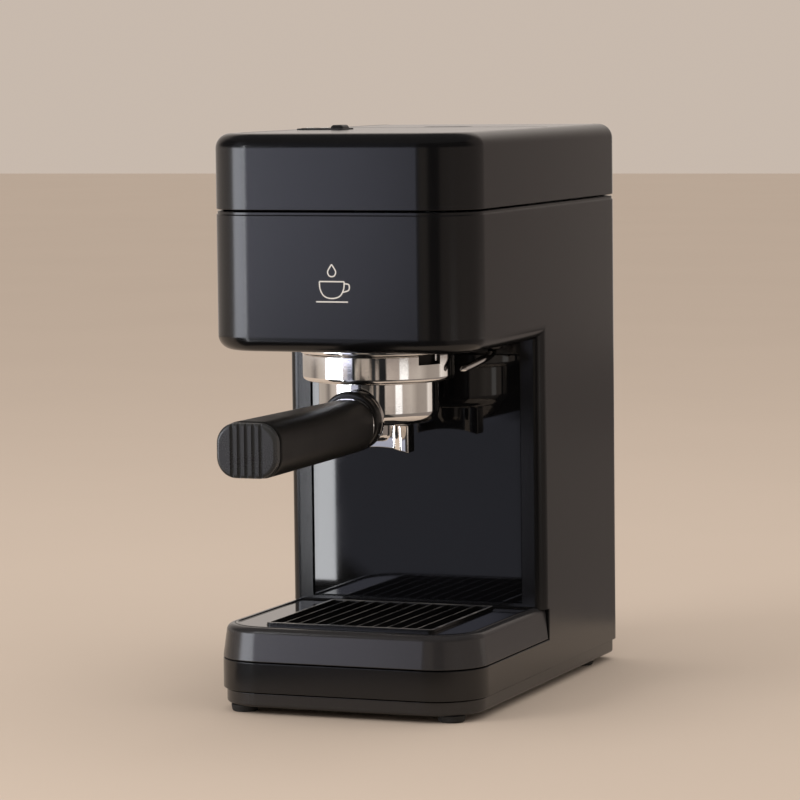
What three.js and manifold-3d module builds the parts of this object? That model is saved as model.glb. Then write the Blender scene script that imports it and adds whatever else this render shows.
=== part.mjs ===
// Slim espresso machine with a bayonet portafilter, as a three.js scene of separate solids.
// Units are millimetres, +Z is up, +Y runs from the front of the machine to its back.
import * as THREE from "three";
import { mergeVertices } from "three/addons/utils/BufferGeometryUtils.js";
import Module from "manifold-3d";

const wasm = await Module();
wasm.setup();

// ---------------------------------------------------------------- driving dimensions
const HALF_WIDTH = 75; // half of the casing's width
const DEPTH = 250; // casing, front to back
const HEIGHT = 308; // worktop to top cover
const FOOT_HEIGHT = 4; // the base plate stands this far above the worktop
const BASE_SEAM = 11.8; // base plate to housing
const TRAY_SEAM = 28.3; // housing to drip tray
const DECK_TOP = 44.5; // upper edge of the tray's outer wall
const HEAD_BOTTOM = 193.3; // underside of the brewing head
const COVER_SEAM = 267.5; // housing to top cover
const FRONT_CORNER = 28; // radius of the upright front corners
const REAR_CORNER = 12;
const WALL = 2.5;
const SEAM = 0.6; // visible gap between two casings
const FIT = 0.3; // gap between touching pieces
const COLUMN_FRONT = 117; // front face of the column
const COLUMN_EDGE = 6; // radius of the column's front edges
const TRAY_BACK = 124; // the tray runs this far back, under the column's front wall
const GROUP_Y = 64.5; // brewing axis
const COLLAR_RADIUS = 40.8; // portafilter's bayonet collar
const BOWL_RADIUS = 32.3;
const BOWL_BOTTOM = 152;
const COLLAR_BOTTOM = 175;
const COLLAR_TOP = 189.6;
const WAND = { x: 50, y: 106 }; // steam wand's swivel axis

// ---------------------------------------------------------------- materials
const finish = (color, roughness, metalness = 0) =>
  new THREE.MeshStandardMaterial({ color, roughness, metalness });
const satinBlack = finish(0x232428, 0.38);
const glossBlack = finish(0x0b0c0e, 0.12);
const mattBlack = finish(0x17181a, 0.55);
const chrome = finish(0xd9d6d2, 0.06, 1);
const steel = finish(0xb4b6b8, 0.3, 1);
const aluminium = finish(0x9a9c9f, 0.45, 1);
const brass = finish(0xb59a5b, 0.35, 1);
const rubber = finish(0x111111, 0.8);
const smokedPlastic = finish(0x6a7278, 0.15);
const whitePlastic = finish(0xdddcd6, 0.4);
const boardGreen = finish(0x1f4d33, 0.5);

// ---------------------------------------------------------------- solids
// Turns a closed three.js geometry into a solid, whichever way its faces were wound.
function solidOf(geometry) {
  const bare = new THREE.BufferGeometry();
  const source = geometry.index ? geometry.toNonIndexed() : geometry;
  bare.setAttribute("position", source.getAttribute("position").clone());
  const merged = mergeVertices(bare, 1e-3);
  const triangles = [];
  const index = merged.index.array;
  for (let i = 0; i < index.length; i += 3) {
    const [a, b, c] = [index[i], index[i + 1], index[i + 2]];
    if (a !== b && b !== c && a !== c) triangles.push(a, b, c);
  }
  const build = (list) =>
    new wasm.Manifold(
      new wasm.Mesh({
        numProp: 3,
        vertProperties: merged.attributes.position.array,
        triVerts: new Uint32Array(list),
      }),
    );
  const made = build(triangles);
  if (made.volume() >= 0) return made;
  const turned = [];
  for (let i = 0; i < triangles.length; i += 3)
    turned.push(triangles[i], triangles[i + 2], triangles[i + 1]);
  return build(turned);
}

function geometryOf(solid) {
  const mesh = solid.getMesh();
  const geometry = new THREE.BufferGeometry();
  const position = new Float32Array(mesh.numVert * 3);
  for (let i = 0; i < mesh.numVert; i++)
    for (let k = 0; k < 3; k++)
      position[3 * i + k] = mesh.vertProperties[i * mesh.numProp + k];
  geometry.setAttribute("position", new THREE.BufferAttribute(position, 3));
  geometry.setIndex(new THREE.BufferAttribute(new Uint32Array(mesh.triVerts), 1));
  return geometry;
}

const join = (first, ...rest) => rest.reduce((sum, next) => sum.add(next), first);
const cut = (first, ...rest) => rest.reduce((left, next) => left.subtract(next), first);

// A box from its lowest to its highest corner.
function box(x0, x1, y0, y1, z0, z1) {
  const geometry = new THREE.BoxGeometry(x1 - x0, y1 - y0, z1 - z0);
  geometry.translate((x0 + x1) / 2, (y0 + y1) / 2, (z0 + z1) / 2);
  return solidOf(geometry);
}

// An upright cylinder, or a cone when the two radii differ.
function post(x, y, z0, z1, radius, topRadius = radius, segments = 24) {
  const geometry = new THREE.CylinderGeometry(topRadius, radius, z1 - z0, segments);
  geometry.rotateX(Math.PI / 2);
  geometry.translate(x, y, (z0 + z1) / 2);
  return solidOf(geometry);
}

// A rectangle in plan with one radius for its two front corners and one for its two rear corners.
function plan(x0, x1, y0, y1, front, rear) {
  const shape = new THREE.Shape();
  shape.moveTo(x0 + front, y0);
  shape.lineTo(x1 - front, y0);
  shape.absarc(x1 - front, y0 + front, front, -Math.PI / 2, 0, false);
  shape.lineTo(x1, y1 - rear);
  shape.absarc(x1 - rear, y1 - rear, rear, 0, Math.PI / 2, false);
  shape.lineTo(x0 + rear, y1);
  shape.absarc(x0 + rear, y1 - rear, rear, Math.PI / 2, Math.PI, false);
  shape.lineTo(x0, y0 + front);
  shape.absarc(x0 + front, y0 + front, front, Math.PI, 1.5 * Math.PI, false);
  return shape;
}

// A plan drawn upwards from z0 to z1, with an optional round of radius edge at both ends.
function slab(shape, z0, z1, edge = 0, curveSegments = 6) {
  const geometry = new THREE.ExtrudeGeometry(shape, {
    depth: z1 - z0 - 2 * edge,
    curveSegments,
    bevelEnabled: edge > 0,
    bevelThickness: edge,
    bevelSize: edge,
    bevelOffset: -edge,
    bevelSegments: 3,
  });
  geometry.translate(0, 0, z0 + edge);
  return solidOf(geometry);
}

// A closed profile of [radius, height] points turned about an upright axis at x, y.
function turned(profile, x, y, segments = 36) {
  const points = [...profile, profile[0]].map(([r, z]) => new THREE.Vector2(r, z));
  const geometry = new THREE.LatheGeometry(points, segments);
  geometry.rotateX(Math.PI / 2);
  geometry.translate(x, y, 0);
  return solidOf(geometry);
}

// A round rod along a smooth curve through points.
function rod(points, radius, steps, sides = 10) {
  const path = new THREE.CatmullRomCurve3(points.map((p) => new THREE.Vector3(...p)));
  const section = new THREE.Shape();
  section.absarc(0, 0, radius, 0, 2 * Math.PI, false);
  const geometry = new THREE.ExtrudeGeometry(section, {
    steps,
    curveSegments: sides,
    bevelEnabled: false,
    extrudePath: path,
  });
  return solidOf(geometry);
}

// ---------------------------------------------------------------- scene
const machine = new THREE.Group();

function place(name, solid, material, group = machine) {
  const mesh = new THREE.Mesh(geometryOf(solid), material);
  mesh.name = name;
  group.add(mesh);
  return mesh;
}

// ---------------------------------------------------------------- casings
const footprint = (inset = 0) =>
  plan(
    -HALF_WIDTH + inset,
    HALF_WIDTH - inset,
    inset,
    DEPTH - inset,
    FRONT_CORNER - inset,
    REAR_CORNER - inset,
  );
const PANEL = { half: 62, bottom: 48.4, top: 184.8, y: 118.4, thick: 2.2 };
const REAR_OPENING = { half: 61, bottom: 15, top: 262 };
const HEAD_EDGE = 8; // round along the head's lower edge

function mainHousing() {
  const seamTop = COVER_SEAM - SEAM / 2;
  const head = cut(
    slab(footprint(), HEAD_BOTTOM, seamTop + 2 * HEAD_EDGE, HEAD_EDGE),
    box(-80, 80, -5, 255, seamTop, seamTop + 20),
  );
  const column = slab(
    plan(-HALF_WIDTH, HALF_WIDTH, COLUMN_FRONT, DEPTH, COLUMN_EDGE, REAR_CORNER),
    DECK_TOP + SEAM,
    HEAD_BOTTOM + 30,
  );
  const columnFoot = slab(
    plan(-HALF_WIDTH, HALF_WIDTH, TRAY_BACK + SEAM, DEPTH, 1, REAR_CORNER),
    BASE_SEAM + SEAM / 2,
    DECK_TOP + 10,
  );
  const base = slab(footprint(), BASE_SEAM + SEAM / 2, TRAY_SEAM - SEAM / 2);
  const outer = join(head, column, columnFoot, base);

  const headRoom = slab(footprint(WALL), HEAD_BOTTOM + 3, COVER_SEAM + 10);
  const columnRoom = slab(
    plan(-HALF_WIDTH + WALL, HALF_WIDTH - WALL, TRAY_BACK + SEAM + WALL, DEPTH - WALL, 2, REAR_CORNER - WALL),
    0,
    HEAD_BOTTOM + 20,
  );
  const baseRoom = slab(footprint(WALL), 0, TRAY_SEAM - SEAM / 2 - WALL);
  const panelPocket = box(
    -PANEL.half,
    PANEL.half,
    COLUMN_FRONT - 1,
    PANEL.y + PANEL.thick + FIT,
    PANEL.bottom,
    HEAD_BOTTOM - FIT,
  );
  const backWindow = box(
    -REAR_OPENING.half,
    REAR_OPENING.half,
    DEPTH - 2 * WALL,
    DEPTH + 5,
    REAR_OPENING.bottom,
    REAR_OPENING.top,
  );
  return cut(
    outer,
    headRoom,
    columnRoom,
    baseRoom,
    panelPocket,
    backWindow,
    post(0, GROUP_Y, HEAD_BOTTOM - 5, HEAD_BOTTOM + 10, 37.6, 37.6, 36),
    post(WAND.x, WAND.y, HEAD_BOTTOM - 5, HEAD_BOTTOM + 10, 6.3),
  );
}
place("main_housing", mainHousing(), satinBlack);

const splashPanel = slab(
  plan(-PANEL.half + FIT, PANEL.half - FIT, PANEL.bottom + FIT, PANEL.top, 1, 1),
  0,
  PANEL.thick,
  0,
  2,
);
place(
  "splash_panel",
  splashPanel.rotate([90, 0, 0]).translate([0, PANEL.y + PANEL.thick, 0]),
  glossBlack,
);

const basePlate = cut(
  slab(footprint(1), FOOT_HEIGHT, BASE_SEAM - SEAM / 2, 1),
  slab(footprint(4), FOOT_HEIGHT + WALL, BASE_SEAM + 5),
);
place("base_plate", basePlate, satinBlack);

const MAINS = { x: 40, z: 42, halfWidth: 14, halfHeight: 10 };
const rearCover = cut(
  box(
    -REAR_OPENING.half + FIT,
    REAR_OPENING.half - FIT,
    DEPTH - WALL,
    DEPTH - 0.2,
    REAR_OPENING.bottom + FIT,
    REAR_OPENING.top - FIT,
  ),
  box(
    MAINS.x - MAINS.halfWidth,
    MAINS.x + MAINS.halfWidth,
    DEPTH - 10,
    DEPTH + 5,
    MAINS.z - MAINS.halfHeight,
    MAINS.z + MAINS.halfHeight,
  ),
  ...Array.from({ length: 7 }, (_, i) =>
    box(-30, 30, DEPTH - 10, DEPTH + 5, 200 + 7 * i, 203 + 7 * i),
  ),
);
place("rear_cover", rearCover, mattBlack);

// Appliance inlet: a hollow block with three blades standing in it.
function mainsInlet() {
  const { x, z, halfWidth: w, halfHeight: h } = MAINS;
  const shell = cut(
    box(x - w + FIT, x + w - FIT, DEPTH - 22, DEPTH - 0.4, z - h + FIT, z + h - FIT),
    box(x - w + 3, x + w - 3, DEPTH - 19, DEPTH + 1, z - h + 3, z + h - 3),
  );
  const blades = [
    [-7, -2],
    [0, 2.5],
    [7, -2],
  ].map(([dx, dz]) => box(x + dx - 1, x + dx + 1, DEPTH - 20, DEPTH - 8, z + dz - 2, z + dz + 2));
  return join(shell, ...blades);
}
place("mains_inlet", mainsInlet(), mattBlack);

// ---------------------------------------------------------------- top
const COVER_EDGE = 8; // round along the top cover's upper edge
const COVER_TOP_WALL = 3.4;
const POCKET = 2.2; // depth of the shallow recesses that hold the plates
const CUP_PLATE = { half: 64.5, front: 28, back: 160.7 };
const CONTROL = { left: -61.5, right: -34, front: 100, back: 118, proud: 0.7 };
const LID = { half: 64.5, front: 166.3, back: 242.3 };
const KEY = { halfWidth: 3.7, halfDepth: 6, clearance: 0.45 };
const KEY_Y = (CONTROL.front + CONTROL.back) / 2;
const KEY_XS = { brew_key: -56.6, steam_key: -47.7, power_rocker: -39 };

function topCover() {
  const bottom = COVER_SEAM + SEAM / 2;
  const outer = cut(
    slab(footprint(), bottom - 2 * COVER_EDGE, HEIGHT, COVER_EDGE),
    box(-80, 80, -5, 255, bottom - 30, bottom),
  );
  const room = slab(footprint(WALL), bottom - 30, HEIGHT - COVER_TOP_WALL, COVER_EDGE - WALL);
  const plateZ = [HEIGHT - POCKET, HEIGHT + 5];
  const cupPocket = box(
    -CUP_PLATE.half - FIT,
    CUP_PLATE.half + FIT,
    CUP_PLATE.front - FIT,
    CUP_PLATE.back + FIT,
    ...plateZ,
  );
  const lidPocket = box(-LID.half - FIT, LID.half + FIT, LID.front - FIT, LID.back + 0.7, ...plateZ);
  const tankMouth = box(-62, 62, 168.5, 240.5, HEIGHT - 20, HEIGHT);
  const keyWell = box(-61, -34.5, CONTROL.front + 1.5, CONTROL.back - 1.5, HEIGHT - 20, HEIGHT);
  return cut(outer, room, cupPocket, lidPocket, tankMouth, keyWell);
}
place("top_cover", topCover(), satinBlack);

const plateBottom = HEIGHT - POCKET + FIT;
const cupOutline = plan(-CUP_PLATE.half, CUP_PLATE.half, CUP_PLATE.front, CUP_PLATE.back, 5, 3);
const cupPlate = cut(
  slab(cupOutline, plateBottom, HEIGHT, 0, 4),
  box(
    CONTROL.left - FIT,
    CONTROL.right + FIT,
    CONTROL.front - FIT,
    CONTROL.back + FIT,
    HEIGHT - 10,
    HEIGHT + 5,
  ),
);
place("cup_plate", cupPlate, satinBlack);

// The upright hole or body of one key, grown by margin on every side.
function keyBlock(x, margin, z0, z1, edge = 0) {
  const w = KEY.halfWidth + margin;
  const d = KEY.halfDepth + margin;
  return slab(plan(x - w, x + w, KEY_Y - d, KEY_Y + d, 2, 2), z0, z1, edge, 3);
}
const controlPlate = cut(
  slab(
    plan(CONTROL.left, CONTROL.right, CONTROL.front, CONTROL.back, 2, 2),
    plateBottom,
    HEIGHT + CONTROL.proud,
    0,
    3,
  ),
  ...Object.values(KEY_XS).map((x) => keyBlock(x, KEY.clearance, HEIGHT - 10, HEIGHT + 5)),
);
place("control_plate", controlPlate, mattBlack);
place("brew_key", keyBlock(KEY_XS.brew_key, 0, 301, HEIGHT + 0.9, 0.6), mattBlack);
place("steam_key", keyBlock(KEY_XS.steam_key, 0, 301, HEIGHT + 0.9, 0.6), mattBlack);
place("power_rocker", keyBlock(KEY_XS.power_rocker, 0, 304.5, HEIGHT + 2.8, 1.6), mattBlack);
place("control_board", box(-64, -32, 94, 124, 297, 298.6), boardGreen);

// ---------------------------------------------------------------- feet and fixings
const FEET = [
  ["front_left", -59, 14],
  ["front_right", 59, 14],
  ["rear_left", -62, 215],
  ["rear_right", 62, 215],
];
for (const [side, x, y] of FEET) {
  const foot = cut(
    turned(
      [
        [0, 0],
        [6.2, 0],
        [7, 0.8],
        [7.4, FOOT_HEIGHT - 0.3],
        [0, FOOT_HEIGHT - 0.3],
      ],
      x,
      y,
      20,
    ),
    post(x, y, -1, FOOT_HEIGHT - 1.4, 3.4, 3.4, 16),
  );
  place(`foot_${side}`, foot, rubber);
  place(`foot_screw_${side}`, post(x, y, 1, FOOT_HEIGHT - 1.7, 3, 3, 12), steel);
}

const REAR_SCREWS = [
  ["top_left", -56, 255],
  ["top_right", 56, 255],
  ["bottom_left", -56, 22],
  ["bottom_right", 56, 22],
];
for (const [corner, x, z] of REAR_SCREWS) {
  const head = post(x, -z, DEPTH + 0.1, DEPTH + 1.3, 3.6, 3, 12).rotate([-90, 0, 0]);
  place(`rear_screw_${corner}`, head, steel);
}

// ---------------------------------------------------------------- drip tray
const TRAY = { floor: 31, deckSeat: 42.3 };

function trayBody() {
  const outer = slab(
    plan(-HALF_WIDTH, HALF_WIDTH, 0, TRAY_BACK, FRONT_CORNER, 2.6),
    TRAY_SEAM + SEAM / 2,
    DECK_TOP + 10,
    2,
  );
  const basin = slab(plan(-69, 69, 6, 118, 22, 6), TRAY.floor, DECK_TOP + 5);
  const deckSeat = slab(plan(-71.8, 71.8, 3.2, 116.4, 24.8, 1), TRAY.deckSeat, DECK_TOP + 15);
  const top = box(-80, 80, -5, 130, DECK_TOP, DECK_TOP + 30);
  return cut(outer, basin, deckSeat, top);
}
place("tray_body", trayBody(), satinBlack);

const GRID = { half: 48, front: 17, back: 111, top: 47.5, bottom: 43.9, border: 4, bar: 2.6 };
const trayDeck = cut(
  slab(plan(-71.5, 71.5, 3.5, 116.1, 24.5, 1.6), TRAY.deckSeat + FIT, 46.6, 1.2),
  box(-GRID.half - FIT, GRID.half + FIT, GRID.front - FIT, GRID.back + FIT, GRID.bottom - FIT, 60),
  box(-GRID.half + 2, GRID.half - 2, GRID.front + 2, GRID.back - 2, 30, 60),
);
place("tray_deck", trayDeck, glossBlack);

function dripGrid() {
  const slots = 11;
  const { half, front, back, border, bar } = GRID;
  const pitch = (2 * (half - border) + bar) / slots;
  const outer = slab(plan(-half, half, front, back, 3, 3), GRID.bottom, GRID.top, 0, 3);
  const openings = Array.from({ length: slots }, (_, i) => {
    const x = -half + border + i * pitch;
    return box(x, x + pitch - bar, front + border, back - border, GRID.bottom - 1, GRID.top + 1);
  });
  return cut(outer, ...openings);
}
place("drip_grid", dripGrid(), glossBlack);

// ---------------------------------------------------------------- brewing group
// Directions, in degrees from +X, of the two bayonet lugs; the collar's notches pass them at -45.
const LUG_TURNS = [-71, 109];

function groupHead() {
  const boss = turned(
    [
      [0, 181.2],
      [26, 181.2],
      [26, 187],
      [35.2, 187],
      [35.2, 182],
      [36.9, 182],
      [36.9, 212],
      [30, 216],
      [0, 216],
    ],
    0,
    GROUP_Y,
  );
  const lug = (turn) =>
    box(34, 37.9, -6.5, 6.5, 182.4, 185.4).rotate([0, 0, turn]).translate([0, GROUP_Y, 0]);
  return cut(
    join(boss, ...LUG_TURNS.map(lug)),
    turned(
      [
        [0, 170],
        [35.1, 170],
        [35.1, 186.9],
        [26.1, 186.9],
        [26.1, 181.1],
        [0, 181.1],
      ],
      0,
      GROUP_Y,
    ),
  );
}
place("group_head", groupHead(), aluminium);
const FLANGE_EDGE = [
  [37.6, 190],
  [41.9, 190],
  [42.4, 190.6],
  [42.4, 193],
  [37.6, 193],
];
place("group_flange", turned(FLANGE_EDGE, 0, GROUP_Y), chrome);
const GASKET_EDGE = [
  [26.6, 179.6],
  [34.7, 179.6],
  [34.7, 186.6],
  [26.6, 186.6],
];
place("brew_gasket", turned(GASKET_EDGE, 0, GROUP_Y), rubber);
const SCREEN_EDGE = [
  [3.6, 178.6],
  [25.4, 178.6],
  [25.4, 180.9],
  [24.4, 180.9],
  [24.4, 179.4],
  [3.6, 179.4],
];
place("shower_screen", turned(SCREEN_EDGE, 0, GROUP_Y), steel);
const SCREEN_SCREW_EDGE = [
  [0, 177.2],
  [5, 177.6],
  [5, 178.3],
  [3.2, 178.3],
  [3.2, 180.9],
  [0, 180.9],
];
place("screen_screw", turned(SCREEN_SCREW_EDGE, 0, GROUP_Y, 24), steel);

const BOILER_BASE_EDGE = [
  [0, 216.4],
  [33, 216.4],
  [33, 230],
  [38, 230],
  [38, 234],
  [0, 234],
];
place("boiler_base", turned(BOILER_BASE_EDGE, 0, GROUP_Y), brass);
const BOILER_CAP_EDGE = [
  [0, 234.4],
  [38, 234.4],
  [38, 238],
  [33, 238],
  [33, 252],
  [28, 256],
  [0, 256],
];
place("boiler_cap", turned(BOILER_CAP_EDGE, 0, GROUP_Y), brass);
const THERMOSTAT_EDGE = [
  [0, 256.3],
  [9, 256.3],
  [9, 262],
  [5, 262],
  [5, 266],
  [0, 266],
];
place("thermostat", turned(THERMOSTAT_EDGE, 0, GROUP_Y, 28), mattBlack);
place(
  "solenoid_valve",
  join(box(42, 66, 128, 152, 213, 243), post(54, 140, 242, 258, 8), post(54, 140, 208, 214, 4, 4, 16)),
  mattBlack,
);

// ---------------------------------------------------------------- steam wand
place(
  "wand_socket",
  turned([[3.5, 189.2], [5, 189.2], [6, 190.4], [6, 199], [3.5, 199]], WAND.x, WAND.y, 24),
  mattBlack,
);
const WAND_PATH = [
  [WAND.x, WAND.y, 198],
  [WAND.x, WAND.y, 191],
  [WAND.x + 0.2, WAND.y - 1.2, 187.6],
  [WAND.x + 0.7, WAND.y - 7, 185.9],
  [WAND.x + 1, WAND.y - 17, 184.6],
  [WAND.x - 0.5, WAND.y - 29, 182.7],
  [WAND.x - 3.2, WAND.y - 40, 180.6],
];
place("steam_wand", rod(WAND_PATH, 2.3, 18, 5), chrome);

// ---------------------------------------------------------------- water tank
const TANK = { half: 59, front: 171, back: 238, bottom: 122, top: 304.6 };
const tankInside = plan(-TANK.half + 2, TANK.half - 2, TANK.front + 2, TANK.back - 2, 6, 6);
const tank = cut(
  slab(plan(-TANK.half, TANK.half, TANK.front, TANK.back, 8, 8), TANK.bottom, TANK.top, 0, 4),
  slab(tankInside, TANK.bottom + 2.5, TANK.top + 5, 0, 4),
  post(0, 205, TANK.bottom - 5, TANK.bottom + 10, 5, 5, 24),
);
place("water_tank", tank, smokedPlastic);
const tankLid = cut(
  slab(plan(-LID.half, LID.half, LID.front, LID.back, 3, 1), HEIGHT - 1.8, HEIGHT, 0, 4),
  slab(plan(-14, 14, LID.front + 3, LID.front + 13, 4, 4), HEIGHT - 0.9, HEIGHT + 2, 0, 4),
);
place("tank_lid", tankLid, satinBlack);
const VALVE_EDGE = [
  [2.2, 108],
  [6, 108],
  [8.5, 112],
  [8.5, 121.6],
  [2.2, 121.6],
];
place("tank_valve", turned(VALVE_EDGE, 0, 205, 28), whitePlastic);
place(
  "tank_seat",
  cut(slab(plan(-70, 70, 169, 245, 1, 9), 115, 118.5), post(0, 205, 110, 125, 10)),
  mattBlack,
);

// ---------------------------------------------------------------- pump and pipes
const pumpBody = join(box(-44, -8, 132, 164, 60, 104), post(-26, 148, 50, 61, 8, 8, 24));
place("pump_body", pumpBody, aluminium);
const pumpHead = join(
  post(-26, 148, 104.4, 128, 12, 12, 28),
  post(-26, 148, 127, 140, 5, 5, 20),
);
place("pump_head", pumpHead, whitePlastic);
for (const [name, y] of [
  ["pump_mount_front", 127.6],
  ["pump_mount_rear", 164.4],
])
  place(name, box(-38, -14, y, y + 4, 76, 88), rubber);
const SUCTION_PATH = [
  [0, 205, 107.4],
  [0, 204, 90],
  [-8, 190, 50],
  [-24, 156, 36],
  [-26, 148, 44],
  [-26, 148, 49.6],
];
place("suction_hose", rod(SUCTION_PATH, 3, 24, 4), whitePlastic);
const BREW_PATH = [
  [-26, 148, 140.4],
  [-26, 146, 170],
  [-40, 120, 215],
  [-50, 90, 240],
  [-38.6, GROUP_Y, 246],
  [-33.5, GROUP_Y, 246],
];
place("brew_pipe", rod(BREW_PATH, 2.2, 22, 4), steel);
const STEAM_PATH = [
  [54, 140, 207.6],
  [54, 139.8, 205.6],
  [53.6, 134, 204.4],
  [52, 118, 204.6],
  [50.4, 109, 204.6],
  [WAND.x, WAND.y + 0.2, 203],
  [WAND.x, WAND.y, 199.4],
];
place("steam_pipe", rod(STEAM_PATH, 1.6, 24, 4), steel);

// ---------------------------------------------------------------- portafilter
// Built with its brewing axis at the origin and its handle straight ahead, then turned and moved.
const portafilter = new THREE.Group();
portafilter.position.set(0, GROUP_Y, 0);
machine.add(portafilter);

const HANDLE = { z: 153.5, start: 44, end: 173.1, halfWidth: 16.8, halfHeight: 14.2, corner: 10.8 };
const GRIP_NECK = { halfWidth: 14.9, halfHeight: 13.9, corner: 12.4 };
const NECK = { z: 155.4, end: 35.3, radius: 15.6 }; // the collar's axis is a little above the grip's
const HANDLE_COLLAR_RADIUS = 16.3;

// A rounded section across the handle, drawn forwards from one distance to the next.
function handleSlice(from, to, size, shrink = 0, edge = 0) {
  const w = size.halfWidth - shrink;
  const h = size.halfHeight - shrink;
  const corner = size.corner - shrink;
  return slab(plan(-w, w, -h, h, corner, corner), from, to, edge, 4);
}
// Lays a solid that was drawn along +Z down along the handle, which points straight ahead.
const alongHandle = (solid, z = HANDLE.z) => solid.rotate([90, 0, 0]).translate([0, 0, z]);

// Directions, in degrees from +X, of the collar's two notches with the handle straight ahead.
const NOTCH_TURNS = [-26, 154];

function portafilterBody() {
  const bowl = turned(
    [
      [6, BOWL_BOTTOM],
      [25.6, BOWL_BOTTOM],
      [BOWL_RADIUS - 3, BOWL_BOTTOM + 1],
      [BOWL_RADIUS - 0.8, BOWL_BOTTOM + 3.4],
      [BOWL_RADIUS, BOWL_BOTTOM + 6.6],
      [BOWL_RADIUS, COLLAR_BOTTOM],
      [COLLAR_RADIUS - 2.4, COLLAR_BOTTOM],
      [COLLAR_RADIUS - 0.7, COLLAR_BOTTOM + 0.8],
      [COLLAR_RADIUS, COLLAR_BOTTOM + 2.6],
      [COLLAR_RADIUS, COLLAR_TOP - 0.6],
      [COLLAR_RADIUS - 0.6, COLLAR_TOP],
      [37.6, COLLAR_TOP],
      [37.6, 186.2],
      [39.4, 186.2],
      [39.4, 181.4],
      [36.4, 181.4],
      [36.4, 177.8],
      [30.6, 177.8],
      [30.6, 157],
      [28, 154.6],
      [6, 154.6],
    ],
    0,
    0,
  );
  const notch = (turn) => box(36.9, 43, -7.8, 7.8, 184.6, 195).rotate([0, 0, turn]);
  const neck = alongHandle(
    join(post(0, 0, 8, 27, 5.5, 12.6), post(0, 0, 27, NECK.end, 12.6, NECK.radius)),
    NECK.z,
  );
  const inside = post(0, 0, 154.6, 180, 30.6, 30.6, 36);
  const stud = alongHandle(post(0, 0, 32.6, 60, 4.4, 4.4, 20));
  return cut(join(bowl, cut(neck, inside)), stud, ...NOTCH_TURNS.map(notch));
}
place("portafilter_body", portafilterBody(), chrome, portafilter);
const BASKET_EDGE = [
  [0, 158],
  [28.4, 158],
  [29.4, 160],
  [29.4, 178.1],
  [35.4, 178.1],
  [35.4, 178.9],
  [28.6, 178.9],
  [28.6, 160.4],
  [28, 158.8],
  [0, 158.8],
];
place("filter_basket", turned(BASKET_EDGE, 0, 0), steel, portafilter);
const springRing = [];
for (let i = 0; i <= 14; i++) {
  const turn = THREE.MathUtils.degToRad(-150 + i * 21.4);
  springRing.push([30.05 * Math.cos(turn), 30.05 * Math.sin(turn), 173]);
}
place("basket_spring", rod(springRing, 0.3, 36, 2), steel, portafilter);

function doubleSpout() {
  const hub = post(0, 0, 143, BOWL_BOTTOM - FIT, 8, 8, 28);
  const arch = new THREE.Shape();
  arch.moveTo(-14, BOWL_BOTTOM - 1.6);
  arch.lineTo(-18, 136.4);
  arch.quadraticCurveTo(0, 141, 18, 136.4);
  arch.lineTo(14, BOWL_BOTTOM - 1.6);
  const web = slab(arch, -4.2, 4.2, 0, 6).rotate([90, 0, 0]);
  const outlets = [-14, 14].map((x) => post(x, 0, 135.2, BOWL_BOTTOM - 1, 4.7, 4.7, 20));
  const bores = [-14, 14].map((x) => post(x, 0, 130, 140, 3.2, 3.2, 16));
  return cut(join(hub, web, ...outlets), ...bores);
}
place("double_spout", doubleSpout(), chrome, portafilter);

place(
  "handle_collar",
  cut(
    alongHandle(post(0, 0, NECK.end + FIT, HANDLE.start, HANDLE_COLLAR_RADIUS), NECK.z),
    alongHandle(post(0, 0, 0, 80, 4.6, 4.6, 16)),
  ),
  mattBlack,
  portafilter,
);
const gripBody = wasm.Manifold.hull([
  handleSlice(HANDLE.start + FIT, HANDLE.start + 3, GRIP_NECK, 0, 1.5),
  handleSlice(HANDLE.end - 60, HANDLE.end, HANDLE, 0, 2),
]);
place(
  "handle_grip",
  alongHandle(cut(gripBody, post(0, 0, 30, 151, 4.6, 4.6, 16))),
  mattBlack,
  portafilter,
);
place("handle_bolt", alongHandle(post(0, 0, 33, 150, 4, 4, 16)), steel, portafilter);

function endCap() {
  const body = handleSlice(HANDLE.end + FIT, HANDLE.end + 5.8, HANDLE, 0.4, 1.6);
  const grooves = Array.from({ length: 5 }, (_, i) => {
    const x = -7.8 + i * 3.9;
    return box(x - 0.7, x + 0.7, -30, 30, HANDLE.end + 4.6, HANDLE.end + 10);
  });
  return alongHandle(cut(body, ...grooves));
}
place("handle_end_cap", endCap(), mattBlack, portafilter);

// The origin is the centre of the whole machine's footprint, handle included, on the worktop.
const bounds = new THREE.Box3().setFromObject(machine, true);
machine.position.set(-(bounds.min.x + bounds.max.x) / 2, -(bounds.min.y + bounds.max.y) / 2, 0);
const root = new THREE.Group();
root.add(machine);

export default root;
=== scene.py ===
"""Looks of a slim espresso machine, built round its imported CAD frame.

Shapes are worked out with numpy in millimetres in the machine's own measure: x from its middle
plane, y back from its front face, z up from the worktop. They become metres in the row frame when
the mesh is made. Every finish is procedural.
"""

import logging
import math
from collections.abc import Callable, Sequence
from dataclasses import dataclass
from enum import Enum
from typing import Any

import bmesh
import bpy
import numpy as np
from mathutils import Matrix, Vector


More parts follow.
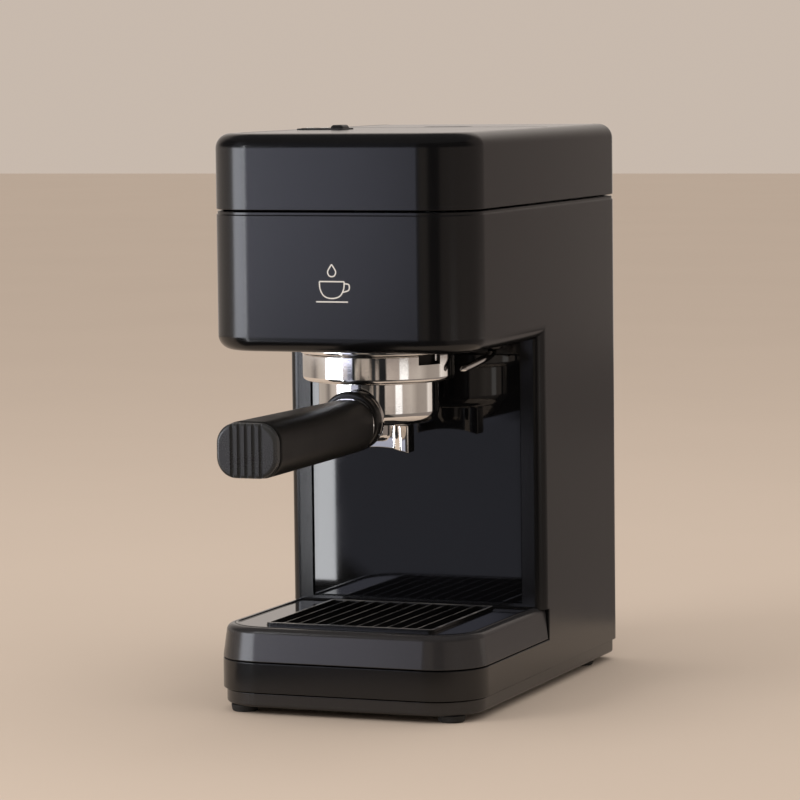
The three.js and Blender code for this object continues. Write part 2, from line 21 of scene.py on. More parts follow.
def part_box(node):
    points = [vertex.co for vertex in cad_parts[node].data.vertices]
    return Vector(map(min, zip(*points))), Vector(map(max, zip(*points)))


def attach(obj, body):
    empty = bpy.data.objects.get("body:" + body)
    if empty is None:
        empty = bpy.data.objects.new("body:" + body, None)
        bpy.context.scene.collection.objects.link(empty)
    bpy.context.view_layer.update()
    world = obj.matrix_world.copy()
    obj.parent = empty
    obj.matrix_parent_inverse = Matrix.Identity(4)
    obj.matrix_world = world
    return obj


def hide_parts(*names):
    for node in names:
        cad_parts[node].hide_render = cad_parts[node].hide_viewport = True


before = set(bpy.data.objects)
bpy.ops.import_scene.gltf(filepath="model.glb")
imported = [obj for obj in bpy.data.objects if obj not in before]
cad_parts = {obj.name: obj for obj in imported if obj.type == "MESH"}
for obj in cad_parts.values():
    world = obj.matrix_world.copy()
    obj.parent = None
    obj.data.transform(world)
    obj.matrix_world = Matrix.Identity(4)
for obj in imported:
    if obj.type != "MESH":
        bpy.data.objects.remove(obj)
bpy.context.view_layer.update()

log = logging.getLogger("espresso_machine")

MM = 0.001
DOUBLE = 1e-7  # metres within which two points are one
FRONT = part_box("main_housing")[0].y  # the front face, in metres in the row frame
Array = np.ndarray
Colour = tuple[float, float, float]


# ------------------------------------------------------------------------------ meshes
def to_row(points: Array) -> Array:
    """Moves points from the machine's millimetres to the row frame's metres.

    Args:
        points: (n, 3) positions in millimetres.

    Returns:
        (n, 3) positions in metres: each is divided by 1000, then y gets the front face's place.
    """
    return np.asarray(points, float) * MM + np.array([0.0, FRONT, 0.0])


def new_object(name: str, points: Array, faces: list[Sequence[int]]) -> bpy.types.Object:
    """Makes a mesh object that sits at the origin.

    Args:
        name: the piece's name.
        points: (n, 3) positions in millimetres.
        faces: rows of vertex numbers.

    Returns:
        The linked object, with its faces turned outwards.
    """
    mesh = bpy.data.meshes.new(name)
    mesh.from_pydata(to_row(points).tolist(), [], [list(map(int, f)) for f in faces])
    mesh.validate()
    piece = bpy.data.objects.new(name, mesh)
    bpy.context.scene.collection.objects.link(piece)
    turn_outwards(piece)
    return piece


def turn_outwards(piece: bpy.types.Object) -> None:
    """Merges doubled points of a closed mesh and turns its normals out of it.

    Args:
        piece: the piece, whose mesh is changed.
    """
    shell = bmesh.new()
    shell.from_mesh(piece.data)
    bmesh.ops.remove_doubles(shell, verts=shell.verts, dist=DOUBLE)
    bmesh.ops.dissolve_degenerate(shell, dist=DOUBLE, edges=shell.edges)
    bmesh.ops.recalc_face_normals(shell, faces=shell.faces)
    shell.to_mesh(piece.data)
    shell.free()


def quads(rows: int, columns: int, around: bool = True, along: bool = False) -> Array:
    """Faces of a grid whose point number is row * columns + column.

    Args:
        rows: rings along the grid.
        columns: points in each ring.
        around: whether the last column joins the first.
        along: whether the last row joins the first.

    Returns:
        (n, 4) vertex numbers.
    """
    i = np.arange(rows if along else rows - 1)
    j = np.arange(columns if around else columns - 1)
    i, j = (a.ravel() for a in np.meshgrid(i, j, indexing="ij"))
    k, m = (i + 1) % rows, (j + 1) % columns
    return np.stack([i * columns + j, i * columns + m, k * columns + m, k * columns + j], 1)


def loft(name: str, rings: Array, closed: bool = False) -> bpy.types.Object:
    """Skins a stack of rings, with a flat face at each end.

    Args:
        name: the piece's name.
        rings: (rows, columns, 3) points, each row a ring.
        closed: whether the last ring joins the first instead of getting end faces.

    Returns:
        The closed object.
    """
    rows, columns, _ = rings.shape
    faces = quads(rows, columns, True, closed).tolist()
    if not closed:
        faces.append(list(range(columns))[::-1])
        faces.append(list(range((rows - 1) * columns, rows * columns)))
    return new_object(name, rings.reshape(-1, 3), faces)


def outline(
    x0: float, x1: float, y0: float, y1: float, front: float, rear: float, inset: float = 0.0,
    steps: int = 16,
) -> Array:
    """A rectangle with rounded corners, drawn anticlockwise and shrunk by inset on every side.

    Each corner is a quarter circle of radius r - inset about the corner's own centre, where r is
    front for the two corners at y0 and rear for the two at y1, and never less than 0.05.

    Args:
        x0, x1, y0, y1: the sides before the inset.
        front, rear: corner radii before the inset.
        inset: how far every side moves inwards.
        steps: pieces in each quarter circle.

    Returns:
        (4 * (steps + 1), 2) points.
    """
    turn = np.linspace(0.0, math.pi / 2, steps + 1)
    corners = [
        (x1 - front, y0 + front, front, -math.pi / 2),
        (x1 - rear, y1 - rear, rear, 0.0),
        (x0 + rear, y1 - rear, rear, math.pi / 2),
        (x0 + front, y0 + front, front, math.pi),
    ]
    parts = []
    for cx, cy, radius, start in corners:
        small = max(radius - inset, 0.05)
        shift = radius - inset - small
        angle = start + turn
        mid = start + math.pi / 4
        sx = math.copysign(1.0, math.cos(mid)) * shift
        sy = math.copysign(1.0, math.sin(mid)) * shift
        across, along = cx + sx + small * np.cos(angle), cy + sy + small * np.sin(angle)
        parts.append(np.stack([across, along], 1))
    return np.concatenate(parts)


def rounded_wall(z0: float, z1: float, low: float, high: float, steps: int = 8) -> Array:
    """Heights and insets of an upright wall with a quarter round at its foot and at its head.

    Inset falls as low * (1 - sin t) while height rises as low * (1 - cos t), and the same upside
    down at the head.

    Args:
        z0, z1: foot and head.
        low, high: radii of the two rounds, 0 for a sharp edge.
        steps: pieces in each round.

    Returns:
        (n, 2) rows of height and inset.
    """
    t = np.linspace(0.0, math.pi / 2, steps + 1)
    foot = np.stack([z0 + low * (1 - np.cos(t)), low * (1 - np.sin(t))], 1)
    head = np.stack([z1 - high * (1 - np.sin(t)), high * (1 - np.cos(t))], 1)
    return np.concatenate([foot if low else foot[:1], head if high else head[:1]])


def stack(name: str, plan: Callable[[float], Array], wall: Array) -> bpy.types.Object:
    """Stands a plan up along a wall profile: ring k is plan(inset k) at height k.

    Args:
        name: the piece's name.
        plan: gives the outline for an inset.
        wall: rows of height and inset.

    Returns:
        The closed object.
    """
    rings = []
    for height, inset in wall:
        flat = plan(inset)
        rings.append(np.column_stack([flat, np.full(len(flat), height)]))
    return loft(name, np.array(rings))


def block(
    name: str, x0: float, x1: float, y0: float, y1: float, z0: float, z1: float,
    corner: float = 0.3, edge: float = 0.0, steps: int = 5,
) -> bpy.types.Object:
    """A box with rounded upright corners and, if edge is above 0, rounded foot and head.

    Its plan is an outline with one radius, and it stands up along a rounded wall.

    Args:
        name: the piece's name.
        x0, x1, y0, y1, z0, z1: its sides.
        corner: radius of the upright corners.
        edge: radius of the foot's and the head's rounds.
        steps: pieces in each corner.

    Returns:
        The closed object.
    """
    return stack(
        name,
        lambda inset: outline(x0, x1, y0, y1, corner, corner, inset, steps),
        rounded_wall(z0, z1, edge, edge, 4),
    )


def lathe(
    name: str, profile: Sequence[tuple[float, float]], x: float, y: float, sides: int = 128,
) -> bpy.types.Object:
    """Turns a closed profile about an upright axis.

    Point (i, j) is (x + r_i cos a_j, y + r_i sin a_j, z_i), with a_j evenly spread over a turn. A
    profile that starts and ends on the axis gets a pole at each end, any other joins up.

    Args:
        name: the piece's name.
        profile: rows of radius and height.
        x, y: the axis.
        sides: points round the axis.

    Returns:
        The closed object.
    """
    rows = np.asarray(profile, float)
    on_axis = rows[0, 0] < 1e-6 and rows[-1, 0] < 1e-6
    body = rows[1:-1] if on_axis else rows
    angle = np.linspace(0.0, 2 * math.pi, sides, endpoint=False)
    radius, height = body[:, :1], body[:, 1:]
    points = np.stack(
        [x + radius * np.cos(angle), y + radius * np.sin(angle), height + 0 * angle], 2
    ).reshape(-1, 3)
    faces = quads(len(body), sides, True, not on_axis).tolist()
    if on_axis:
        first, last = len(points), len(points) + 1
        points = np.vstack([points, [x, y, rows[0, 1]], [x, y, rows[-1, 1]]])
        j = np.arange(sides)
        k = (j + 1) % sides
        base = (len(body) - 1) * sides
        faces += np.stack([np.full(sides, first), k, j], 1).tolist()
        faces += np.stack([np.full(sides, last), base + j, base + k], 1).tolist()
    return new_object(name, points, faces)


def smooth_path(points: Sequence[Sequence[float]], count: int) -> Array:
    """A Catmull-Rom curve through points.

    On each span the place is 0.5 * (2b + (c - a)t + (2a - 5b + 4c - d)t^2 + (3b - a - 3c + d)t^3).

    Args:
        points: the points that it passes.
        count: how many places to return.

    Returns:
        (count, 3) places from the first point to the last.
    """
    p = np.asarray(points, float)
    p = np.vstack([2 * p[0] - p[1], p, 2 * p[-1] - p[-2]])
    s = np.linspace(0, len(p) - 3 - 1e-9, count)
    i = s.astype(int)
    t = (s - i)[:, None]
    a, b, c, d = p[i], p[i + 1], p[i + 2], p[i + 3]
    square = (2 * a - 5 * b + 4 * c - d) * t**2
    cube = (3 * b - a - 3 * c + d) * t**3
    return 0.5 * (2 * b + (c - a) * t + square + cube)


def sweep(
    name: str, path: Array, radius: Array, sides: int = 32, side: Sequence[float] = (1.0, 0.0, 0.0),
) -> bpy.types.Object:
    """Carries a circle along a path.

    Ring k is path_k + radius_k (cos a * u + sin a * v), where v is the path's direction crossed
    with side, and u is v crossed with the direction.

    Args:
        name: the piece's name.
        path: (n, 3) centres.
        radius: (n,) radii.
        sides: points in a ring.
        side: a direction that the path never runs along.

    Returns:
        The closed object.
    """
    along = np.gradient(path, axis=0)
    along /= np.linalg.norm(along, axis=1, keepdims=True)
    v = np.cross(along, np.asarray(side, float))
    v /= np.linalg.norm(v, axis=1, keepdims=True)
    u = np.cross(v, along)
    angle = np.linspace(0, 2 * math.pi, sides, endpoint=False)
    ring = (
        np.cos(angle)[None, :, None] * u[:, None, :] + np.sin(angle)[None, :, None] * v[:, None, :]
    )
    return loft(name, path[:, None, :] + radius[:, None, None] * ring)


def turn_and_place(
    piece: bpy.types.Object, turn: float, axis: str, place: tuple[float, float, float]
) -> None:
    """Turns a mesh that was made about the zero point and takes it to its place.

    Args:
        piece: the piece, whose mesh is changed while the object stays at the origin.
        turn: the angle in degrees.
        axis: the letter of the axis that it is turned about.
        place: where its zero point goes, in millimetres.
    """
    x, y, z = place
    piece.data.transform(Matrix.Translation((0, -FRONT, 0)))
    piece.data.transform(Matrix.Rotation(math.radians(turn), 4, axis))
    piece.data.transform(Matrix.Translation((x * MM, y * MM + FRONT, z * MM)))


def fuse(name: str, parts: Sequence[bpy.types.Object]) -> bpy.types.Object:
    """Puts separate closed meshes into one object.

    Args:
        name: the new object's name.
        parts: the objects, which are thrown away.

    Returns:
        The object that holds all their faces.
    """
    points, faces, start = [], [], 0
    for part in parts:
        mesh = part.data
        co = np.empty(len(mesh.vertices) * 3)
        mesh.vertices.foreach_get("co", co)
        points.append(co.reshape(-1, 3))
        faces += [[start + v for v in polygon.vertices] for polygon in mesh.polygons]
        start += len(mesh.vertices)
        discard(part)
    mesh = bpy.data.meshes.new(name)
    mesh.from_pydata(np.concatenate(points).tolist(), [], faces)
    piece = bpy.data.objects.new(name, mesh)
    bpy.context.scene.collection.objects.link(piece)
    return piece


def discard(piece: bpy.types.Object) -> None:
    """Removes a working object and its mesh.

    Args:
        piece: the object.
    """
    mesh = piece.data
    bpy.data.objects.remove(piece)
    bpy.data.meshes.remove(mesh)


class Join(Enum):
    """How a tool shape meets the piece that it works on."""

    ADD = "UNION"
    CUT = "DIFFERENCE"


def work(piece: bpy.types.Object, how: Join, *tools: bpy.types.Object) -> bpy.types.Object:
    """Joins tools to a piece, or cuts them from it, and throws the tools away.

    Args:
        piece: the piece to change.
        how: whether the tools are added or cut away.
        tools: closed objects.

    Returns:
        The same piece with its new mesh.
    """
    for tool in tools:
        modifier = piece.modifiers.new("work", "BOOLEAN")
        modifier.operation = how.value
        modifier.solver = "EXACT"
        modifier.object = tool
    settle(piece)
    for tool in tools:
        discard(tool)
    return piece


def settle(piece: bpy.types.Object) -> None:
    """Applies every modifier of a piece to its mesh.

    Args:
        piece: the piece.
    """
    graph = bpy.context.evaluated_depsgraph_get()
    mesh = bpy.data.meshes.new_from_object(piece.evaluated_get(graph))
    piece.modifiers.clear()
    old = piece.data
    piece.data = mesh
    bpy.data.meshes.remove(old)


def soften(piece: bpy.types.Object, width: float, steps: int = 3, angle: float = 35.0) -> None:
    """Rounds a piece's sharp edges.

    Args:
        piece: the piece.
        width: the round's width in millimetres.
        steps: pieces in each round.
        angle: edges that turn by more than this many degrees are rounded.
    """
    modifier = piece.modifiers.new("edges", "BEVEL")
    modifier.width = width * MM
    modifier.segments = steps
    modifier.limit_method = "ANGLE"
    modifier.angle_limit = math.radians(angle)
    modifier.use_clamp_overlap = True
    settle(piece)


# ------------------------------------------------------------------------------ shader tools
class Ending(Enum):
    """What a node tree ends in: the types of its main shader and of its output."""

    SURFACE = ("ShaderNodeBsdfPrincipled", "ShaderNodeOutputMaterial")
    GLOW = ("ShaderNodeEmission", "ShaderNodeOutputMaterial")
    SKY = ("ShaderNodeBackground", "ShaderNodeOutputWorld")


class Recipe:
    """The node tree of one material, or of the surroundings, with its main shader."""

    def __init__(self, name: str, ending: Ending = Ending.SURFACE) -> None:
        """Starts a tree that holds only its main shader and its output.

        Args:
            name: the name of the material or of the surroundings.
            ending: what the tree ends in.
        """
        kind, output = ending.value
        owners = bpy.data.worlds if ending is Ending.SKY else bpy.data.materials
        self.owner = owners.new(name)
        self.owner.use_nodes = True
        self.tree = self.owner.node_tree
        self.tree.nodes.clear()
        self.shader = self.node(kind)
        self.node(output, {}, {"Surface": self.wire(self.shader)})

    def node(
        self, kind: str, settings: dict[str, Any] | None = None,
        inputs: dict[Any, Any] | None = None,
    ) -> bpy.types.Node:
        """Adds a node.

        Args:
            kind: the node's type.
            settings: its properties, or stops for a colour ramp.
            inputs: values, or wires, for its sockets.

        Returns:
            The node.
        """
        made = self.tree.nodes.new(kind)
        for key, value in (settings or {}).items():
            if key == "stops":
                self._fill_ramp(made.color_ramp, value)
            else:
                setattr(made, key, value)
        for key, value in (inputs or {}).items():
            self.put(made.inputs[key], value)
        return made

    @staticmethod
    def _fill_ramp(ramp: bpy.types.ColorRamp, stops: Sequence[tuple[float, Colour]]) -> None:
        """Gives a ramp its stops.

        Args:
            ramp: the ramp of a new node.
            stops: rows of place and colour.
        """
        while len(ramp.elements) < len(stops):
            ramp.elements.new(1.0)
        for element, (place, colour) in zip(ramp.elements, stops):
            element.position = place
            element.color = (*colour, 1.0)

    def put(self, socket: bpy.types.NodeSocket, value: Any) -> None:
        """Sets a socket to a value or links a wire to it.

        Args:
            socket: the input socket.
            value: a wire, a colour of three parts, or any other value of the socket's own type.
        """
        if isinstance(value, Wire):
            self.tree.links.new(value.socket, socket)
        elif isinstance(value, tuple) and len(value) == 3 and socket.type == "RGBA":
            socket.default_value = (*value, 1.0)
        else:
            socket.default_value = value

    def wire(self, made: bpy.types.Node, output: int | str = 0) -> "Wire":
        """One of a node's outputs as a wire."""
        return Wire(self, made.outputs[output])

    def place(self, scale: Sequence[float] = (1.0, 1.0, 1.0)) -> "Wire":
        """The surface's place in metres.

        Args:
            scale: how much it is stretched along each axis.

        Returns:
            The wire of the place.
        """
        where = self.wire(self.node("ShaderNodeTexCoord"), "Object")
        if tuple(scale) == (1.0, 1.0, 1.0):
            return where
        inputs = {"Vector": where, "Scale": tuple(scale)}
        return self.wire(self.node("ShaderNodeMapping", {}, inputs))

    def noise(
        self, scale: float, detail: float = 3.0, rough: float = 0.55, where: Any = None
    ) -> "Wire":
        """Cloudy noise from 0 to 1.

        Args:
            scale: bumps in a metre.
            detail: how many finer layers it has.
            rough: how strong the finer layers are.
            where: the place to read it at, which is the surface's own if not given.

        Returns:
            The wire of the noise.
        """
        inputs = {
            "Vector": where or self.place(), "Scale": scale, "Detail": detail, "Roughness": rough,
        }
        return self.wire(self.node("ShaderNodeTexNoise", {}, inputs), 0)

    def cells(self, scale: float) -> "Wire":
        """Distance to the nearest of many scattered points, in cells, with scale cells a metre."""
        inputs = {"Vector": self.place(), "Scale": scale}
        return self.wire(self.node("ShaderNodeTexVoronoi", {}, inputs), "Distance")

    def blend(self, share: Any, first: Any, second: Any) -> "Wire":
        """A colour that is first where share is 0 and second where it is 1."""
        made = self.node("ShaderNodeMix", {"data_type": "RGBA"}, {0: share, 6: first, 7: second})
        return self.wire(made, 2)

    def bump(self, height: "Wire", depth: float) -> "Wire":
        """A normal for a height from 0 to 1 that stands depth millimetres tall."""
        inputs = {"Height": height, "Strength": 1.0, "Distance": depth * MM}
        return self.wire(self.node("ShaderNodeBump", {}, inputs))

    def set(self, **values: Any) -> None:
        """Sets sockets of the main shader.

        Args:
            values: a value or a wire by the socket's name, with _ for each space in the name.
        """
        for key, value in values.items():
            self.put(self.shader.inputs[key.replace("_", " ")], value)


class Wire:
    """A socket on which sums can be written; each operator adds a Math node."""

    def __init__(self, recipe: Recipe, socket: bpy.types.NodeSocket) -> None:
        """Keeps the recipe and the output socket."""
        self.recipe = recipe
        self.socket = socket

    def _math(self, operation: str, *terms: Any) -> "Wire":
        """Adds one Math node that does an operation on terms."""
        made = self.recipe.node("ShaderNodeMath", {"operation": operation}, dict(enumerate(terms)))
        return self.recipe.wire(made)

    def __add__(self, other: Any) -> "Wire":
        """Sum."""
        return self._math("ADD", self, other)

    __radd__ = __add__

    def __mul__(self, other: Any) -> "Wire":
        """Product."""
        return self._math("MULTIPLY", self, other)

    __rmul__ = __mul__

    def __sub__(self, other: Any) -> "Wire":
        """Difference."""
        return self._math("SUBTRACT", self, other)

    def __rsub__(self, other: Any) -> "Wire":
        """Difference the other way round."""
        return self._math("SUBTRACT", other, self)

    def spread(self, low: float, high: float) -> "Wire":
        """Maps the value to a share.

        Args:
            low: the value at and below which the share is 0.
            high: the value at and above which the share is 1.

        Returns:
            The wire of the share.
        """
        made = self.recipe.node(
            "ShaderNodeMapRange", {"clamp": True}, {0: self, 1: low, 2: high, 3: 0.0, 4: 1.0}
        )
        return self.recipe.wire(made)


# ------------------------------------------------------------------------------ finishes
@dataclass(frozen=True)
class SatinShell:
    """Satin moulded casing: fine grain, pale flecks, a faint handling haze."""

    name: str = "satin_shell"
    colour: Colour = (0.0034, 0.0034, 0.004)
    roughness: float = 0.2
    grain: float = 0.003

    def make(self) -> bpy.types.Material:
        """Builds the material.

        Returns:
            The material.
        """
        r = Recipe(self.name)
        haze = r.noise(16.0, 4.0)
        fine = r.noise(2600.0, 2.0, 0.6)
        flecks = r.cells(1500.0)
        fleck = 1.0 - flecks.spread(0.08, 0.26)
        cloud = r.noise(55.0, 5.0, 0.6)
        base = r.blend(haze, self.colour, tuple(c * 1.25 for c in self.colour))
        lift = tuple(min(1.0, c * 5.0 + 0.03) for c in self.colour)
        r.set(
            Base_Color=r.blend(fleck * 0.14, base, lift),
            Roughness=cloud * 0.04 + fine * 0.06 + (self.roughness - 0.05),
            Normal=r.bump(fine + fleck * 0.4, self.grain),
        )
        return r.owner


@dataclass(frozen=True)
class PolishedPanel:
    """Deep gloss black sheet with wipe marks and settled dust."""

    name: str = "polished_panel"
    colour: Colour = (0.0035, 0.0036, 0.0045)
    roughness: float = 0.03
    dust: float = 0.12

    def make(self) -> bpy.types.Material:
        """Builds the material.

        Returns:
            The material.
        """
        r = Recipe(self.name)
        wipe = r.noise(22.0, 5.0, 0.6, r.place((1.0, 1.0, 0.35)))
        smear = wipe.spread(0.45, 0.8)
        specks = (1.0 - r.cells(520.0).spread(0.03, 0.075)) * r.noise(60.0, 2.0).spread(0.42, 0.62)
        ripple = r.noise(9.0, 2.0)
        r.set(
            Base_Color=r.blend(specks * self.dust, self.colour, (0.3, 0.29, 0.28)),
            Roughness=smear * 0.04 + specks * 0.2 + self.roughness,
            Normal=r.bump(ripple, 0.02),
        )
        return r.owner


@dataclass(frozen=True)
class LacquerWithPaintedGlint:
    """Black lacquer on a grid whose tops are painted lighter: partly wear from cups, partly a
    painted highlight that stands in for the glint of light along their edges.

    Above the height edge the lacquer is painted lighter, more so in some places than in others.
    """

    name: str = "lacquer_with_wear_and_painted_glint"
    colour: Colour = (0.004, 0.004, 0.004)
    # colour of the lighter tops: wear, and a painted highlight for the glint on the edges
    wear_and_glint: Colour = (0.27, 0.255, 0.24)
    edge: float = 0.04738

    def make(self) -> bpy.types.Material:
        """Builds the material.

        Returns:
            The material.
        """
        r = Recipe(self.name)
        height = r.wire(r.node("ShaderNodeSeparateXYZ", {}, {"Vector": r.place()}), "Z")
        top = height.spread(self.edge, self.edge + 0.00005)
        rub_and_glint_patches = r.noise(45.0, 4.0, 0.6).spread(0.35, 0.7)
        grain = r.noise(1500.0, 3.0)
        r.set(
            # painted highlight and wear: the tops are painted lighter in patches
            Base_Color=r.blend(top * (rub_and_glint_patches * 0.8 + 0.1), self.colour, self.wear_and_glint),
            Roughness=grain * 0.1 + 0.14,
            Normal=r.bump(grain, 0.006),
        )
        return r.owner


@dataclass(frozen=True)
class ChromePlate:
    """Bright chrome over polished brass: slight ripple, water marks, hairline polishing."""

    name: str = "chrome_plate"
    colour: Colour = (0.9, 0.885, 0.87)
    roughness: float = 0.035

    def make(self) -> bpy.types.Material:
        """Builds the material.

        Returns:
            The material.
        """
        r = Recipe(self.name)
        ripple = r.noise(42.0, 3.0, 0.5)
        marks = r.noise(130.0, 4.0, 0.65).spread(0.56, 0.78)
        rings = r.cells(260.0)
        ring = rings.spread(0.24, 0.3) * (1.0 - rings.spread(0.3, 0.36)) * marks
        lines = r.noise(700.0, 2.0, 0.5, r.place((1.0, 1.0, 9.0)))
        r.set(
            Base_Color=r.blend(marks * 0.2, self.colour, tuple(c * 0.86 for c in self.colour)),
            Metallic=1.0,
            Roughness=marks * 0.05 + ring * 0.12 + lines * 0.02 + self.roughness,
            Normal=r.bump(lines * 0.1 + ripple, 0.035),
        )
        return r.owner


@dataclass(frozen=True)
class GripPlastic:
    """Matt black thermoset with an even spark-eroded grain, polished a little where held."""

    name: str = "grip_plastic"
    colour: Colour = (0.0042, 0.0039, 0.0035)
    roughness: float = 0.38
    grain: float = 0.03

    def make(self) -> bpy.types.Material:
        """Builds the material.

        Returns:
            The material.
        """
        r = Recipe(self.name)
        grain = r.noise(1400.0, 4.0, 0.65)
        pits = r.cells(2100.0)
        wear_and_glint = r.noise(24.0, 4.0, 0.55).spread(0.35, 0.75)
        dust = r.noise(420.0, 5.0, 0.7).spread(0.62, 0.8)
        r.set(
            Base_Color=r.blend(dust * 0.18, self.colour, tuple(c * 3.0 for c in self.colour)),
            Roughness=self.roughness - wear_and_glint * 0.1 + grain * 0.12,
            Normal=r.bump(pits * 0.35 + grain, self.grain),
        )
        return r.owner


@dataclass(frozen=True)
class SoftRubber:
    """Matt rubber with moulding bloom."""

    name: str = "soft_rubber"
    colour: Colour = (0.012, 0.012, 0.0118)

    def make(self) -> bpy.types.Material:
        """Builds the material.

        Returns:
            The material.
        """
        r = Recipe(self.name)
        bloom = r.noise(180.0, 5.0, 0.65)
        grain = r.noise(1800.0, 3.0)
        r.set(
            Base_Color=r.blend(bloom.spread(0.4, 0.8) * 0.4, self.colour, (0.04, 0.039, 0.037)),
            Roughness=0.95 - bloom * 0.35,
            Normal=r.bump(bloom * 0.5 + grain, 0.04),
        )
        return r.owner


class Brush(Enum):
    """Which way a metal was brushed: the axis along which its marks stay the same."""

    ALONG_X = (0.03, 1.0, 1.0)
    NONE = (1.0, 1.0, 1.0)


@dataclass(frozen=True)
class Metal:
    """Plain metal with machining or casting marks, dull spots and a little tarnish."""

    name: str
    colour: Colour
    roughness: float
    brush: Brush = Brush.NONE
    marks: float = 0.012
    tarnish: float = 0.25

    def make(self) -> bpy.types.Material:
        """Builds the material.

        Returns:
            The material.
        """
        r = Recipe(self.name)
        lines = r.noise(2200.0, 3.0, 0.6, r.place(self.brush.value))
        stain = r.noise(75.0, 5.0, 0.6).spread(0.4, 0.85)
        dull = tuple(c * 0.62 for c in self.colour)
        r.set(
            Base_Color=r.blend(stain * self.tarnish, self.colour, dull),
            Metallic=1.0,
            Roughness=lines * 0.14 + stain * 0.12 + self.roughness,
            Normal=r.bump(lines + stain * 0.4, self.marks),
        )
        return r.owner


@dataclass(frozen=True)
class MouldedPlastic:
    """Plain moulded plastic with fine grain and a few scuffs."""

    name: str
    colour: Colour
    roughness: float = 0.4

    def make(self) -> bpy.types.Material:
        """Builds the material.

        Returns:
            The material.
        """
        r = Recipe(self.name)
        grain = r.noise(1500.0, 3.0)
        scuff = r.noise(90.0, 5.0, 0.7).spread(0.58, 0.8)
        pale = tuple(min(1.0, c * 1.5 + 0.01) for c in self.colour)
        r.set(
            Base_Color=r.blend(scuff * 0.3, self.colour, pale),
            Roughness=grain * 0.1 + scuff * 0.15 + (self.roughness - 0.05),
            Normal=r.bump(grain, 0.02),
        )
        return r.owner


@dataclass(frozen=True)
class ClearTank:
    """Smoked clear plastic with lime haze that thickens in patches."""

    name: str = "clear_tank"
    colour: Colour = (0.42, 0.47, 0.5)

    def make(self) -> bpy.types.Material:
        """Builds the material.

        Returns:
            The material.
        """
        r = Recipe(self.name)
        lime = r.noise(70.0, 6.0, 0.65).spread(0.45, 0.8)
        r.set(
            Base_Color=r.blend(lime * 0.4, self.colour, (0.75, 0.76, 0.75)),
            Roughness=lime * 0.3 + 0.06,
            Normal=r.bump(lime, 0.03),
            Alpha=lime * 0.25 + 0.5,
            IOR=1.49,
        )
        return r.owner


@dataclass(frozen=True)
class Board:
    """Lacquered circuit board with copper runs under the green."""

    name: str = "board_green"

    def make(self) -> bpy.types.Material:
        """Builds the material.

        Returns:
            The material.
        """
        r = Recipe(self.name)
        runs = r.wire(
            r.node(
                "ShaderNodeTexBrick",
                {"offset": 0.5},
                {
                    "Vector": r.place(), "Scale": 260.0, "Color1": (0.012, 0.075, 0.03),
                    "Color2": (0.016, 0.09, 0.036), "Mortar": (0.06, 0.16, 0.05),
                    "Mortar Size": 0.05,
                },
            )
        )
        grain = r.noise(900.0, 3.0)
        r.set(
            Base_Color=runs, Roughness=grain * 0.2 + 0.25, Normal=r.bump(grain, 0.02),
            Coat_Weight=0.4,
        )
        return r.owner


@dataclass(frozen=True)
class PrintedMark:
    """White pad-printed ink with slightly uneven cover."""

    name: str = "printed_mark"
    colour: Colour = (0.78, 0.78, 0.77)

    def make(self) -> bpy.types.Material:
        """Builds the material.

        Returns:
            The material.
        """
        r = Recipe(self.name)
        cover = r.noise(900.0, 4.0, 0.7)
        r.set(
            Base_Color=r.blend(cover * 0.3, self.colour, tuple(c * 0.85 for c in self.colour)),
            Roughness=cover * 0.2 + 0.35,
            Normal=r.bump(cover, 0.01),
        )
        return r.owner


@dataclass(frozen=True)
class Worktop:
    """Pale stone composite of the studio floor."""

    name: str = "worktop"
    colour: Colour = (0.56, 0.475, 0.405)

    def make(self) -> bpy.types.Material:
        """Builds the material.

        Returns:
            The material.
        """
        r = Recipe(self.name)
        cloud = r.noise(3.0, 5.0)
        r.set(
            Base_Color=r.blend(cloud, self.colour, tuple(c * 0.95 for c in self.colour)),
            Roughness=cloud * 0.1 + 0.38,
            Specular_IOR_Level=0.0,
        )
        return r.owner


FINISHES: dict[str, Any] = {
    "shell": SatinShell(),
    "plate": SatinShell("satin_plate", (0.0032, 0.0032, 0.0037), 0.18, 0.0025),
    "tray": SatinShell("satin_tray", (0.022, 0.0213, 0.0228), 0.22, 0.004),
    "base": SatinShell("satin_base", (0.0138, 0.0132, 0.0138), 0.24, 0.005),
    "panel": PolishedPanel(),
    "deck": PolishedPanel("polished_deck", (0.004, 0.004, 0.0045), 0.07, 0.2),
    "grid": LacquerWithPaintedGlint(),
    "chrome": ChromePlate(),
    "grip": GripPlastic(),
    "cap": GripPlastic("cap_plastic", (0.034, 0.0355, 0.0375), 0.27, 0.015),
    "collar": GripPlastic("collar_plastic", (0.006, 0.0057, 0.0055), 0.22, 0.008),
    "keys": MouldedPlastic("key_plastic", (0.013, 0.013, 0.014), 0.33),
    "matt": MouldedPlastic("matt_plastic", (0.02, 0.02, 0.021), 0.5),
    "white": MouldedPlastic("white_plastic", (0.72, 0.7, 0.66), 0.4),
    "rubber": SoftRubber(),
    "steel": Metal("plain_steel", (0.6, 0.595, 0.58), 0.22, Brush.ALONG_X),
    "screen": Metal("punched_steel", (0.62, 0.61, 0.59), 0.18, Brush.NONE),
    "cast": Metal("cast_aluminium", (0.52, 0.52, 0.53), 0.42, Brush.NONE, 0.05),
    "dark_cast": Metal("blackened_casting", (0.05, 0.048, 0.046), 0.4, Brush.NONE, 0.05),
    "brass": Metal("turned_brass", (0.7, 0.5, 0.22), 0.25, Brush.ALONG_X),
    "tank": ClearTank(),
    "board": Board(),
    "mark": PrintedMark(),
    "worktop": Worktop(),
}
_made: dict[str, bpy.types.Material] = {}


def finish(key: str) -> bpy.types.Material:
    """The material for a finish, made the first time it is asked for.

    Args:
        key: the finish's key.

    Returns:
        The material.
    """
    if key not in _made:
        _made[key] = FINISHES[key].make()
    return _made[key]


